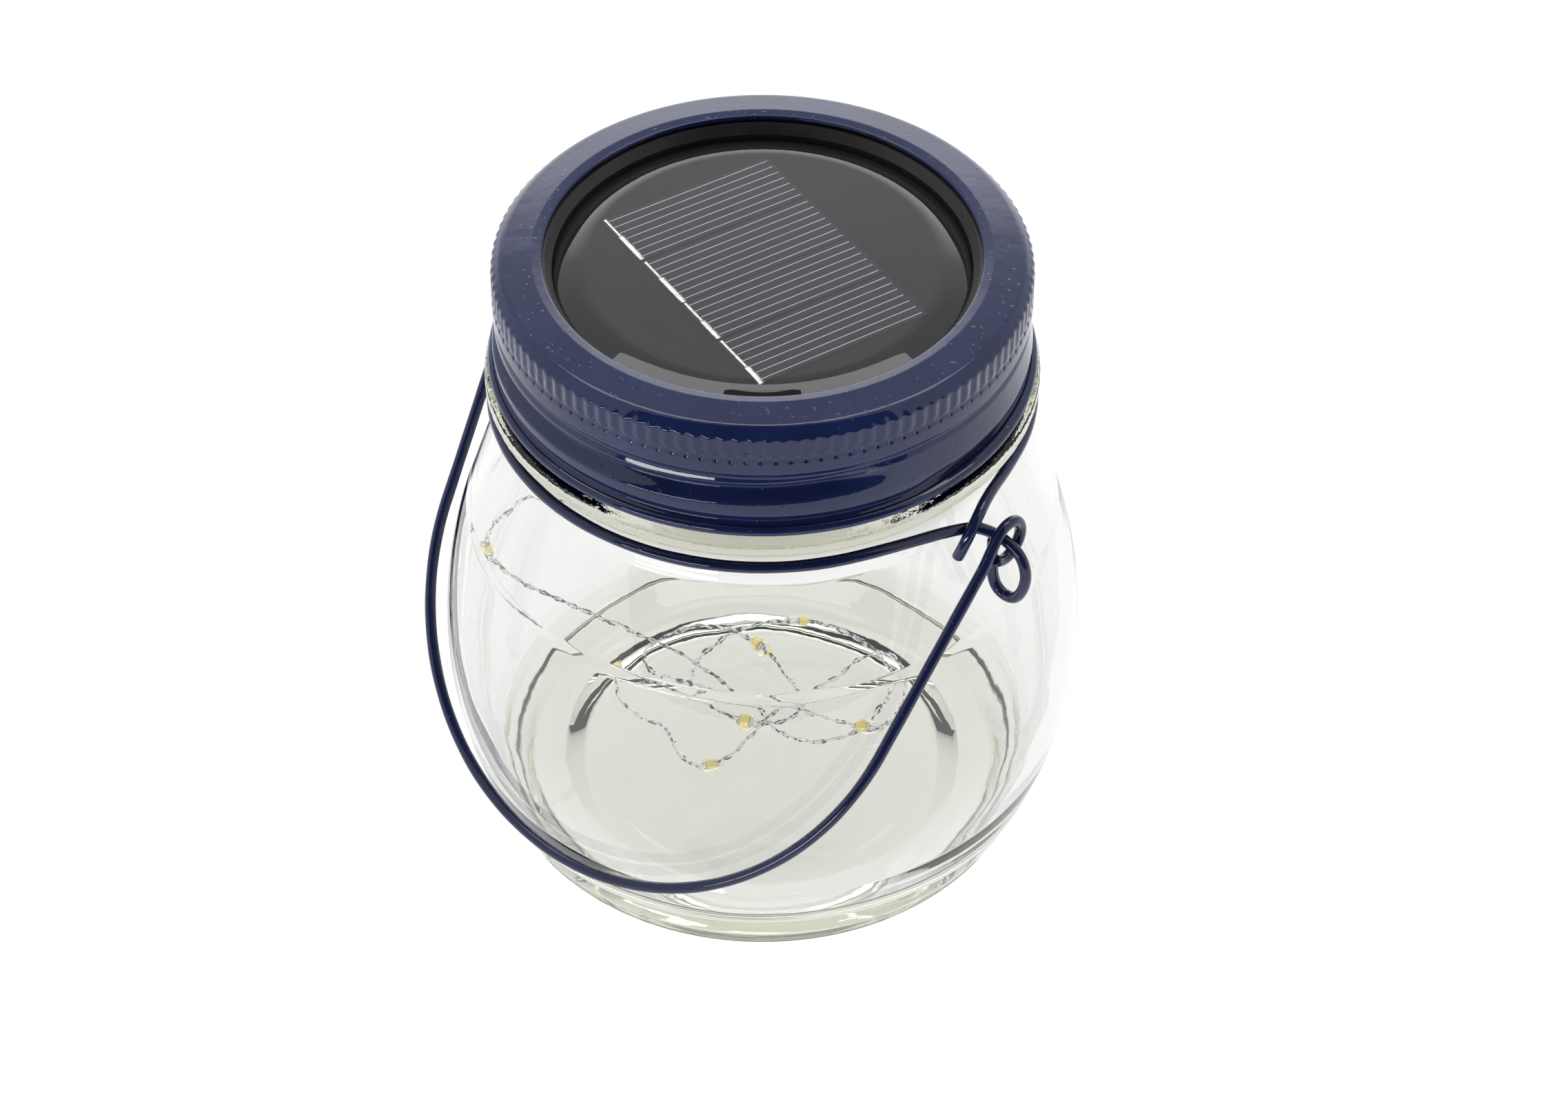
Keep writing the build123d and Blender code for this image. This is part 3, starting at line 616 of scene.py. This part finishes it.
def make_lights():
    """The resin drops, the light chips in them, and the solder that holds each chip to the wires."""
    drops, chips, joints = [], [], []
    for number, (place, direction) in enumerate(light_places()):
        direction = direction / np.linalg.norm(direction)
        side = np.cross(direction, (0, 0, 1))
        side /= np.linalg.norm(side)
        axes = [direction, side, np.cross(side, direction)]
        drops.append(drop_shape(place, direction, number * 1.7))
        chips.append(block(place + direction * CHIP_OFFSETS[number], axes, CHIP_SIZE))
        for end in (-1, 1):
            joint = place + direction * (CHIP_OFFSETS[number] + end * SOLDER_FROM_CHIP)
            joints.append(block(joint, axes, SOLDER_SIZE))
    resin_drops = make_object("resin_drops", *joined(drops), DROP, "jar", "drop_resin", ["light_drops"])
    let_light_in(resin_drops)
    yellow = make_object(
        "chip_phosphor", *joined(chips), phosphor(), "jar", "light_chip", ["light_chips"], smooth=False,
    )
    solder = make_object("chip_solder", *joined(joints), TINNED, "jar", "string_wire")
    return [resin_drops, yellow, solder]


def phosphor():
    """The yellow silicone over a white light's chip."""
    material = new_material("phosphor", (1.0, 0.84, 0.22), 0.5)
    stops = [(0.3, (1.0, 0.80, 0.18)), (0.7, (1.0, 0.90, 0.38))]
    tint = add_ramp(material, add_noise(material, 1800, 2), stops)
    link(material, tint, shader_input(material, "Base Color"))
    return material


light_string, string_line = make_light_string()
on_string = make_lights()


# ---- glass jar -----------------------------------------------------------------------
FINISH_R = 32.7
MOUTH_R = 29.3
THREAD_PITCH = 5.08
THREAD_START_Z = 82.2
THREAD_TURNS = 1.25
THREAD_DEEP = 1.0
BEAD_R = 37.0
BEAD_Z = 76.9
NECK_R = 35.2
NECK_Z = 74.3
SHOULDER_TOP_Z = 69.4
SHOULDER_LOW = (40.45, 53.3)
BELLY_Z = 31.0
BODY_ARC_R = 59.0
HEEL_Z = 6.5
FOOT_R = 32.2
BEARING_INNER_R = 29.6
WALL = 2.6
FLOOR_Z = 7.2
FLOOR_R = 29.4
PUSH_UP_Z = 3.0
PUSH_UP_R = 25.0


def body_radius(height, wall=0.0):
    """The round body below the belly."""
    arc = BODY_ARC_R - wall
    return BELLY_R - BODY_ARC_R + sqrt(arc**2 - (height - BELLY_Z) ** 2)


def shoulder_radius(height, wall=0.0):
    """The body above the belly, up to the cone."""
    low_r, low_z = SHOULDER_LOW
    fall, rise = BELLY_R - low_r, low_z - BELLY_Z
    arc = (fall**2 + rise**2) / (2 * fall)
    return BELLY_R - arc + sqrt(arc**2 - (height - BELLY_Z) ** 2) - wall


def body_line(low, high, wall=0.0, step=0.8):
    """The body's outline from one height to another."""
    line = []
    for height in np.linspace(low, high, ceil(abs(high - low) / step) + 1):
        radius = body_radius if height < BELLY_Z else shoulder_radius
        line.append(np.array([radius(height, wall), height]))
    return line


def jar_outline():
    """The whole section of the glass: outside from the foot up, then down inside to the floor."""
    heel = body_radius(HEEL_Z)
    foot = rounded([
        (0, PUSH_UP_Z, 0), (PUSH_UP_R, PUSH_UP_Z - 0.7, 7.0), (BEARING_INNER_R, 0.02, 0.5),
        (FOOT_R, 0.0, 1.6), (FOOT_R + 2.4, 0.6, 2.6),
        (heel - 1.3, HEEL_Z - 2.9, 1.2), (heel - 1.2, HEEL_Z - 1.4, 0.7), (heel, HEEL_Z, 0),
    ])
    outside = rounded([
        (*SHOULDER_LOW, 0), (NECK_R, SHOULDER_TOP_Z, 4.0), (NECK_R, NECK_Z, 0.8),
        (BEAD_R, BEAD_Z - 1.1, 0.9), (BEAD_R, BEAD_Z + 0.4, 0.7), (FINISH_R + 1.0, BEAD_Z + 1.4, 0.8),
        (FINISH_R, BEAD_Z + 2.0, 0.5), (FINISH_R, GLASS_TOP, 1.0), (MOUTH_R, GLASS_TOP, 1.0),
        (MOUTH_R, 79.0, 6.0), (32.3, 69.0, 6.0), (SHOULDER_LOW[0] - WALL, SHOULDER_LOW[1] - 0.9, 0),
    ])
    corner_top = 17.0
    corner = rounded([
        (body_radius(corner_top, WALL), corner_top, 0), (body_radius(9.4, WALL) - 0.2, 9.4, 6.4),
        (FLOOR_R, FLOOR_Z + 0.1, 4.2), (FLOOR_R - 3, FLOOR_Z, 0),
    ])
    floor_in = [np.array([r, FLOOR_Z]) for r in np.linspace(FLOOR_R - 4, 0, 16)]
    return [
        *filled_in(foot, 1.0), *body_line(HEEL_Z + 0.6, SHOULDER_LOW[1] - 0.6), *filled_in(outside, 0.5),
        *body_line(SHOULDER_LOW[1] - 1.6, corner_top + 0.6, WALL), *corner, *floor_in,
    ]


def ridge(distance, half):
    """A smooth ridge: 1 at its middle, and 0 from half a width away."""
    share = np.clip(1 - np.abs(distance) / half, 0, 1)
    return share * share * (3 - 2 * share)


def fade(value, start, end):
    """0 before start, 1 after end, and smooth between them."""
    share = np.clip((value - start) / (end - start), 0, 1)
    return share * share * (3 - 2 * share)


def glass_thread(turns, heights, radii):
    """How far the screw thread stands out of the finish."""
    out = np.zeros(np.broadcast(turns, heights).shape)
    for lap in range(3):
        way = (turns + 2 * pi * lap) / (2 * pi)
        ends = fade(way, 0.0, 0.06) * (1 - fade(way, THREAD_TURNS - 0.06, THREAD_TURNS))
        out = out + ends * ridge(heights - THREAD_START_Z - THREAD_PITCH * way, 1.25)
    return out * (radii > FINISH_R - 0.2) * (heights > BEAD_Z + 2.2) * THREAD_DEEP


def pressed_waves(points):
    """The inner wall's slow unevenness, and the small ripples that the mould leaves round the bead."""
    out = points.copy()
    for i, (x, y, z) in enumerate(points):
        radius = hypot(x, y)
        if radius < 6:
            continue
        change = 0.0
        inside = radius < BELLY_R - WALL * 0.5 and FLOOR_Z + 1 < z < 70
        outer = body_radius(z) if z < BELLY_Z else shoulder_radius(min(z, 62.0))
        if inside and radius < outer - WALL * 0.6:
            change = 0.14 * noise.noise(Vector((x, y, z * 0.45)) / 16)
            change += 0.015 * noise.noise(Vector((x, y, z)) / 5)
        if NECK_Z - 0.5 < z < BEAD_Z + 1.6 and radius > NECK_R:
            change = 0.07 * noise.noise(Vector((x, y, z)) / 1.4)
        if abs(z - FLOOR_Z) < 0.3 and radius < FLOOR_R:
            out[i][2] += 0.10 * noise.noise(Vector((x, y, 3.0)) / 7) * min(1, (FLOOR_R - radius) / 6)
        out[i][0] += change * x / radius
        out[i][1] += change * y / radius
    return out


def make_jar():
    points, faces = lathe(jar_outline(), 320, glass_thread, closed=True)
    points, faces = welded(pressed_waves(points), faces)
    let_light_in(make_object("jar_glass", points, faces, GLASS, "jar", "glass", ["glass_jar"]))


make_jar()


# ---- screw band ----------------------------------------------------------------------
SHEET = 0.4
OPENING_R = 28.8
KNURL_R = 35.5
KNURL_Z = (90.9, 94.5)
FLUTES = 118
FLUTE_DEEP = 0.10
DIMPLE_DEEP = 0.26
LIP_R = 35.6
CREST_R = 35.8
GROOVE_DEEP = 1.35
GROOVE_HALF = 1.75
GROOVE_START = radians(-60) + LID_TURN
GROOVE_START_Z = 80.5
CURL_R = 0.75


def band_outline(inner):
    """The sheet's outer or inner line, from the hem at the opening down to the curled edge."""
    back = SHEET if inner else 0.0
    corners = [
        (OPENING_R + back, 95.25, 0), (OPENING_R + back, LID_TOP - 0.18 - back, 0.35 if inner else 0.32),
        (OPENING_R + 1.4, LID_TOP - back, 0.8), (KNURL_R - 1.2 - back * 0.4, LID_TOP - 0.60 - back, 1.2),
        (KNURL_R - back, KNURL_Z[1] - 0.4, 0.8),
        (KNURL_R - back, KNURL_Z[0], 0.5), (LIP_R - back, KNURL_Z[0] - 0.7, 0.5), (LIP_R - back, 88.5, 0.5),
        (35.0 - back, 87.3, 0.45), (35.35 - back, 86.5, 0.5), (CREST_R - back, 82.6, 1.2),
        (CREST_R - back, 81.5, 1.0), (35.0 - back, 80.35, 0.5),
        (LID_R - 0.75 - back * 0.6, LID_BOTTOM + 1.45, 0.3),
    ]
    return filled_in(rounded(corners, 0.12), 0.4 if inner else 0.16)


def curl_line():
    """The curled edge, most of a circle, which ends inside the band."""
    middle = np.array([LID_R - CURL_R, LID_BOTTOM + CURL_R])
    turns = np.linspace(radians(86), radians(-190), 26)
    return [middle + CURL_R * np.array([cos(turn), sin(turn)]) for turn in turns]


def band_shape(turns, heights, radii):
    """Flutes with a dimple under each, and the rolled screw groove, which runs once round."""
    out = np.zeros(np.broadcast(turns, heights).shape)
    side = radii > 33.8
    low, high = KNURL_Z
    in_knurl = fade(heights, low, low + 0.9) * (1 - fade(heights, high - 0.9, high + 0.35))
    flute = np.cos(FLUTES * turns)
    out = out + side * in_knurl * FLUTE_DEEP * flute
    dimple = np.clip(-flute, 0, 1) ** 6 * ridge(heights - KNURL_Z[0] + 0.35, 0.62)
    out = out - side * DIMPLE_DEEP * dimple
    lap = (turns - GROOVE_START) / (2 * pi) % 1.0
    ends = fade(lap, 0.0, 0.045) * (1 - fade(lap, 0.95, 1.0))
    centre = GROOVE_START_Z + THREAD_PITCH * lap
    groove = ends * ridge(heights - centre, GROOVE_HALF) * ((heights > 79.7) & (heights < 87.6))
    deep = GROOVE_DEEP * (1 - 0.45 * ridge(lap - 0.0, 0.10))
    uneven = 0.03 * np.sin(5 * turns + heights) + 0.02 * np.sin(13 * turns)
    return out - side * (groove * deep) + side * uneven * 0.5 * (heights < 88)


def make_band():
    outer = band_outline(False)
    inner = band_outline(True)
    outline = outer + curl_line() + inner[::-1]
    points, faces = lathe(outline, FLUTES * 10, band_shape)
    make_object("band_sheet", points, faces, BAND_PAINT, "band", "band_paint", ["screw_band"])


make_band()


# ---- wires ---------------------------------------------------------------------------
NECK_WIRE_R = 36.15
NECK_WIRE_Z = 73.1
EYE_DEPTH = 9.6
ARC_STEP = 12


def on_neck(degrees, radius, height):
    return (radius * cos(radians(degrees)), radius * sin(radians(degrees)), height)


def neck_wire_line():
    """The hook at one side, the arc round the neck, and the eye at the hinge."""
    hook = [
        on_neck(171.5, 38.2, 67.8), on_neck(172.5, 38.8, 70.2), on_neck(175, 38.9, 73.0),
        on_neck(181.5, 37.4, 73.9),
    ]
    outward = 1 / cos(radians(ARC_STEP / 2))
    round_neck = [on_neck(d, NECK_WIRE_R * outward, NECK_WIRE_Z) for d in range(191, 346, ARC_STEP)]
    eye = [
        (37.2, -2.7, 71.1), (39.3, -0.6, 69.9), (HINGE_X, 0, HINGE_Z), (HINGE_X + 2.7, 0, HINGE_Z - 1.4),
        (HINGE_X + 3.6, 0, HINGE_Z - 5.2), (HINGE_X + 1.9, 0, HINGE_Z - EYE_DEPTH),
        (HINGE_X - 1.4, 0, HINGE_Z - EYE_DEPTH + 0.2), (HINGE_X - 2.4, 0, HINGE_Z - 5.6),
        (HINGE_X - 2.2, 0, HINGE_Z - 1.0),
    ]
    return smooth_line(hook + round_neck + eye, 16)


def painted_wire(line):
    """Round wire with the slight unevenness of its paint, as (points, faces)."""
    line = spaced(line, 0.3)
    along = np.arange(len(line)) * 0.3
    radius = WIRE_R - 0.02 + 0.014 * np.sin(along / 3.1) + 0.008 * np.sin(along / 1.3 + 1)
    return tube(line, radius, 24, chamfer=0.16)


def make_neck_wires():
    line = neck_wire_line()
    near = painted_wire(line)
    far = painted_wire(turned(line, pi))
    make_object("neck_wire_near", *near, WIRE_PAINT, "jar", "wire_paint", ["neck_wire_front"])
    make_object("neck_wire_far", *far, WIRE_PAINT, "jar", "wire_paint", ["neck_wire_back"])


make_neck_wires()


BAIL_CURL_R = 2.9
BAIL_CURL_SWEEP = 290.0
BAIL_BEND_R = 39.0
BAIL_REACH = 67.9
BAIL_LEAN = radians(37.4)
BAIL_KNEE = 4.0


def bail_line():
    """A curl and an arm at each hinge, and the round bend, in the bail's own plane and then leaned."""
    centre_y = BAIL_REACH - BAIL_BEND_R
    reach = hypot(HINGE_X, centre_y - BAIL_KNEE)
    angle = atan2(centre_y - BAIL_KNEE, HINGE_X) - acos(BAIL_BEND_R / reach)
    touch = (BAIL_BEND_R * cos(angle), centre_y - BAIL_BEND_R * sin(angle))
    half = []
    for share in np.linspace(1, 0, 60):
        turn = radians(-BAIL_CURL_SWEEP * share)
        half.append((HINGE_X, BAIL_CURL_R * sin(turn), BAIL_CURL_R * cos(turn)))
    arm = rounded([(HINGE_X, 0.2, 0), (HINGE_X, BAIL_KNEE, 20.0), (*touch, 0)], 0.4)
    half += [(x, y, BAIL_CURL_R) for x, y in arm]
    for turn in np.linspace(-angle, pi / 2, 80)[1:]:
        half.append((BAIL_BEND_R * cos(turn), centre_y + BAIL_BEND_R * sin(turn), BAIL_CURL_R))
    half = np.array(half)
    flat = np.concatenate([half, (half * (-1, 1, 1))[-2::-1]])
    down = np.array([0, -sin(BAIL_LEAN), -cos(BAIL_LEAN)])
    outward = np.array([0, -cos(BAIL_LEAN), sin(BAIL_LEAN)])
    hinge = np.array([0, 0, HINGE_Z])
    return hinge + flat[:, :1] * (1, 0, 0) + flat[:, 1:2] * down + flat[:, 2:] * outward


def make_bail():
    make_object("bail_wire", *painted_wire(bail_line()), WIRE_PAINT, "bail", "wire_paint", ["bail_handle"])


make_bail()


# ---- solar panel ---------------------------------------------------------------------
CELL_LONG = 39.0
CELL_WIDE = 26.0
STRIPS = (7, 7, 6, 7)
STRIP_GAPS = (0.42, 0.16, 0.34)
STRIP_FAN = (-0.004, 0.003, 0.0, 0.005)
TAB_STARTS = (0.41, 0.39, 0.50, 0.62)
BAR_HALF = 0.27
TAB_HALF = 0.53
BAR_HIGH = 0.06
BAR_FROM_EDGE = 0.6
LINE_HALF = 0.05
LINE_HIGH = 0.03
LINE_FROM_EDGE = 0.5


def strip_places():
    """Middle, width, number of fingers and slant of each strip along the panel."""
    usable = CELL_LONG - sum(STRIP_GAPS)
    start = -CELL_LONG / 2
    places = []
    for count, gap, fan in zip(STRIPS, (*STRIP_GAPS, 0), STRIP_FAN):
        wide = usable * count / sum(STRIPS)
        places.append((start + wide / 2, wide, count, fan))
        start += wide + gap
    return places


def on_panel(points, middle, fan):
    """Points on a strip taken to the panel's place on the lid."""
    points = turned(points, fan) + (middle, 0, 0)
    return turned(points, LID_TURN + PANEL_TURN)


def plate(x, y, z):
    """A thin bevelled plate between the given (low, high) pairs."""
    place = np.array([(x[0] + x[1]) / 2, (y[0] + y[1]) / 2, (z[0] + z[1]) / 2])
    size = (x[1] - x[0], y[1] - y[0], z[1] - z[0])
    return block(place, np.eye(3), size)


def solder_bar(wide, edge, low, tab_start):
    """One strip's soldered bar: a thin uneven ribbon that ends in a wider tab."""
    steps = 120
    points = []
    for i in range(steps + 1):
        share = i / steps
        x = wide * (share - 0.5)
        tab = float(fade(share, tab_start, tab_start + 0.012) * (1 - fade(share, 0.985, 1.0)))
        half = BAR_HALF + (TAB_HALF - BAR_HALF) * tab + 0.07 * noise.noise(Vector((x * 1.3, wide, 1.0)))
        top = BAR_HIGH * (1 + tab) + 0.02 * noise.noise(Vector((x * 2, wide, 5.0)))
        for side, rise in ((-1, 0), (-0.6, top), (0.6, top), (1, 0)):
            points.append((x, edge + half * side, low + rise))
    faces = []
    for i in range(steps):
        for j in range(4):
            k = (j + 1) % 4
            faces.append((i * 4 + j, i * 4 + k, i * 4 + 4 + k, i * 4 + 4 + j))
    last = steps * 4
    faces += [(3, 2, 1, 0), (last, last + 1, last + 2, last + 3)]
    return np.array(points), faces


def make_cells():
    low, high = cells_low.z, cells_high.z
    cells, bars, fingers = [], [], []
    for (middle, wide, count, fan), tab_start in zip(strip_places(), TAB_STARTS):
        shape = plate((-wide / 2, wide / 2), (-CELL_WIDE / 2, CELL_WIDE / 2), (low, high))
        cells.append((on_panel(shape[0], middle, fan), shape[1]))
        shape = solder_bar(wide, -CELL_WIDE / 2 + BAR_FROM_EDGE, high, tab_start)
        bars.append((on_panel(shape[0], middle, fan), shape[1]))
        pitch = wide / count
        for n in range(count):
            x = -wide / 2 + pitch * (n + 0.5)
            reach = CELL_WIDE / 2 - LINE_FROM_EDGE
            shape = plate((x - LINE_HALF, x + LINE_HALF), (-reach, reach), (high, high + LINE_HIGH))
            fingers.append((on_panel(shape[0], middle, fan), shape[1]))
    make_object("cell_strips", *joined(cells), SILICON, "lid", "cell", ["solar_cells"], smooth=False)
    make_object("cell_solder_bars", *joined(bars), TINNED, "lid", "silver_print", ["cell_busbars"])
    make_object(
        "cell_printed_lines", *joined(fingers), PRINTED, "lid", "silver_print", ["cell_fingers"],
        smooth=False,
    )


make_cells()


DOME_FLAT_R = 23.1
DOME_BEND = 2.2
DOME_SLOPE = radians(19)


def make_epoxy():
    """The cast face: flat, and falling towards the tray's rim, where the resin drew back."""
    top, low, edge = epoxy_high.z, cells_low.z - 0.1, epoxy_high.x
    outline = rounded([(0.001, low, 0), (edge - 0.06, low, 0.1), (edge - 0.03, low + 0.3, 0)], 0.1)
    slope_high = tan(DOME_SLOPE)
    for radius in np.linspace(edge - 0.1, 0.001, 110):
        bend = min(max(radius - DOME_FLAT_R, 0.0), DOME_BEND)
        beyond = max(radius - DOME_FLAT_R - DOME_BEND, 0.0)
        fall = slope_high * (bend**2 / (2 * DOME_BEND) + beyond)
        outline.append(np.array([radius, top - 0.01 - fall]))
    points, faces = lathe(outline, 320, closed=False)
    points, faces = welded(points, faces, 2e-3)
    let_light_in(make_object("epoxy_face", points, faces, EPOXY, "lid", "epoxy", ["epoxy_cover"]))


make_epoxy()


# ---- materials on the CAD nodes that stay --------------------------------------------
KEPT = {
    "rim_gasket": GASKET, "panel_tray": BLACK, "panel_backing": BACKING, "bottom_cover": BLACK,
    "cover_screws": STEEL, "battery_cradle": BLACK, "battery": SLEEVE, "battery_contacts": STEEL,
    "battery_door": BLACK, "door_screw": STEEL, "circuit_board": BOARD, "driver_chip": BLACK,
    "inductor": FERRITE, "panel_leads": LEADS, "switch_body": STEEL, "switch_slider": WHITE,
    "string_grommet": BLACK,
}
for node, material in KEPT.items():
    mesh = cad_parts[node].data
    mesh.materials.clear()
    mesh.materials.append(material)


# ---- floor, lights and the studio ----------------------------------------------------
# Places in the studio are in metres, and angles go round the jar from the camera.
FLOOR_SIDE = 12
FLOOR_GLOW = 0.84
SCREEN_AWAY = 1.35
SCREEN_HALF_ROUND = 56
SCREEN_LOW = 1
SCREEN_HIGH = 102


def flat_material(name, colour, roughness, glow):
    material = new_material(name, colour, roughness)
    shader_input(material, "Emission Color").default_value = (1, 1, 1, 1)
    shader_input(material, "Emission Strength").default_value = glow
    return material


def make_rectangle(name, size, material):
    mesh = bpy.data.meshes.new(name)
    x, y = size[0] / 2, size[1] / 2
    mesh.from_pydata([(-x, -y, 0), (x, -y, 0), (x, y, 0), (-x, y, 0)], [], [(0, 1, 2, 3)])
    mesh.materials.append(material)
    rectangle = bpy.data.objects.new(name, mesh)
    bpy.context.collection.objects.link(rectangle)
    return rectangle


def make_floor():
    """A pale floor just under the jar, which glows a little so that it comes out white."""
    pale = flat_material("floor", grey(0.25), 0.9, FLOOR_GLOW)
    plane = make_rectangle("floor", (FLOOR_SIDE, FLOOR_SIDE), pale)
    plane.location.z = -0.00005


def make_flag():
    """A black card on the floor in front that only reflections see, for the dark lines in the gloss."""
    card = make_rectangle("flag", (1.9, 1.2), flat_material("flag", grey(0.0), 1.0, 0.0))
    card.location = toward(0, 0) * 0.85 + Vector((0, 0, 0.0015))
    card.rotation_euler = (0, 0, LID_TURN)
    for kind in ("camera", "diffuse", "transmission", "volume_scatter", "shadow"):
        setattr(card, f"visible_{kind}", False)


def make_softbox(name, azimuth, elevation, distance, size, radiance):
    """An area light that faces the jar and is as bright as radiance says."""
    data = bpy.data.lights.new(name, "AREA")
    data.shape = "RECTANGLE"
    data.size, data.size_y = size
    data.energy = radiance * pi * size[0] * size[1]
    light = bpy.data.objects.new(name, data)
    direction = toward(azimuth, elevation)
    light.location = CAMERA_TARGET + direction * distance
    light.rotation_euler = direction.to_track_quat("Z", "Y").to_euler()
    bpy.context.collection.objects.link(light)


def make_screen():
    """The dark room behind the camera: part of a sphere that isn't seen directly or through glass."""
    points, faces = [], []
    across, up = 23, 18
    for i in range(up):
        for j in range(across):
            azimuth = radians(-SCREEN_HALF_ROUND + 2 * SCREEN_HALF_ROUND * j / (across - 1))
            elevation = radians(SCREEN_LOW + (SCREEN_HIGH - SCREEN_LOW) * i / (up - 1))
            points.append(toward(azimuth, elevation) * SCREEN_AWAY)
            if i and j:
                here = i * across + j
                faces.append((here, here - 1, here - across - 1, here - across))
    mesh = bpy.data.meshes.new("screen")
    mesh.from_pydata(points, [], faces)
    mesh.materials.append(flat_material("screen", grey(0.02), 1.0, 0.0))
    screen = bpy.data.objects.new("screen", mesh)
    bpy.context.collection.objects.link(screen)
    for kind in ("camera", "transmission", "volume_scatter"):
        setattr(screen, f"visible_{kind}", False)


# How bright the world is, from its side away from low behind the jar to there.
WORLD_STOPS = ((0.70, 0.32), (0.82, 0.42), (0.91, 1.0))
WORLD_STRENGTH = 2.6


def make_world():
    """A white studio all round, brightest low down behind the jar and less bright above that."""
    world = bpy.data.worlds.new("studio")
    bpy.context.scene.world = world
    world.use_nodes = True
    nodes, links = world.node_tree.nodes, world.node_tree.links
    behind = nodes.new("ShaderNodeVectorMath")
    behind.operation = "DOT_PRODUCT"
    behind.inputs[1].default_value = toward(pi, radians(5))
    links.new(nodes.new("ShaderNodeTexCoord").outputs["Generated"], behind.inputs[0])
    ramp = nodes.new("ShaderNodeValToRGB")
    ramp.color_ramp.elements.new(0.5)
    for element, (place, light) in zip(ramp.color_ramp.elements, WORLD_STOPS):
        element.position = place
        element.color = (light, light, light, 1)
    links.new(behind.outputs["Value"], ramp.inputs["Fac"])
    background = nodes["Background"]
    background.inputs["Strength"].default_value = WORLD_STRENGTH
    links.new(ramp.outputs["Color"], background.inputs["Color"])


make_floor()
make_flag()
make_screen()
make_world()
make_softbox("window_left", radians(-35), radians(4), 0.9, (0.55, 0.10), 12.0)
make_softbox("overhead", radians(180), radians(74), 1.3, (1.6, 0.4), 3.0)
bpy.context.scene.view_settings.view_transform = "Standard"
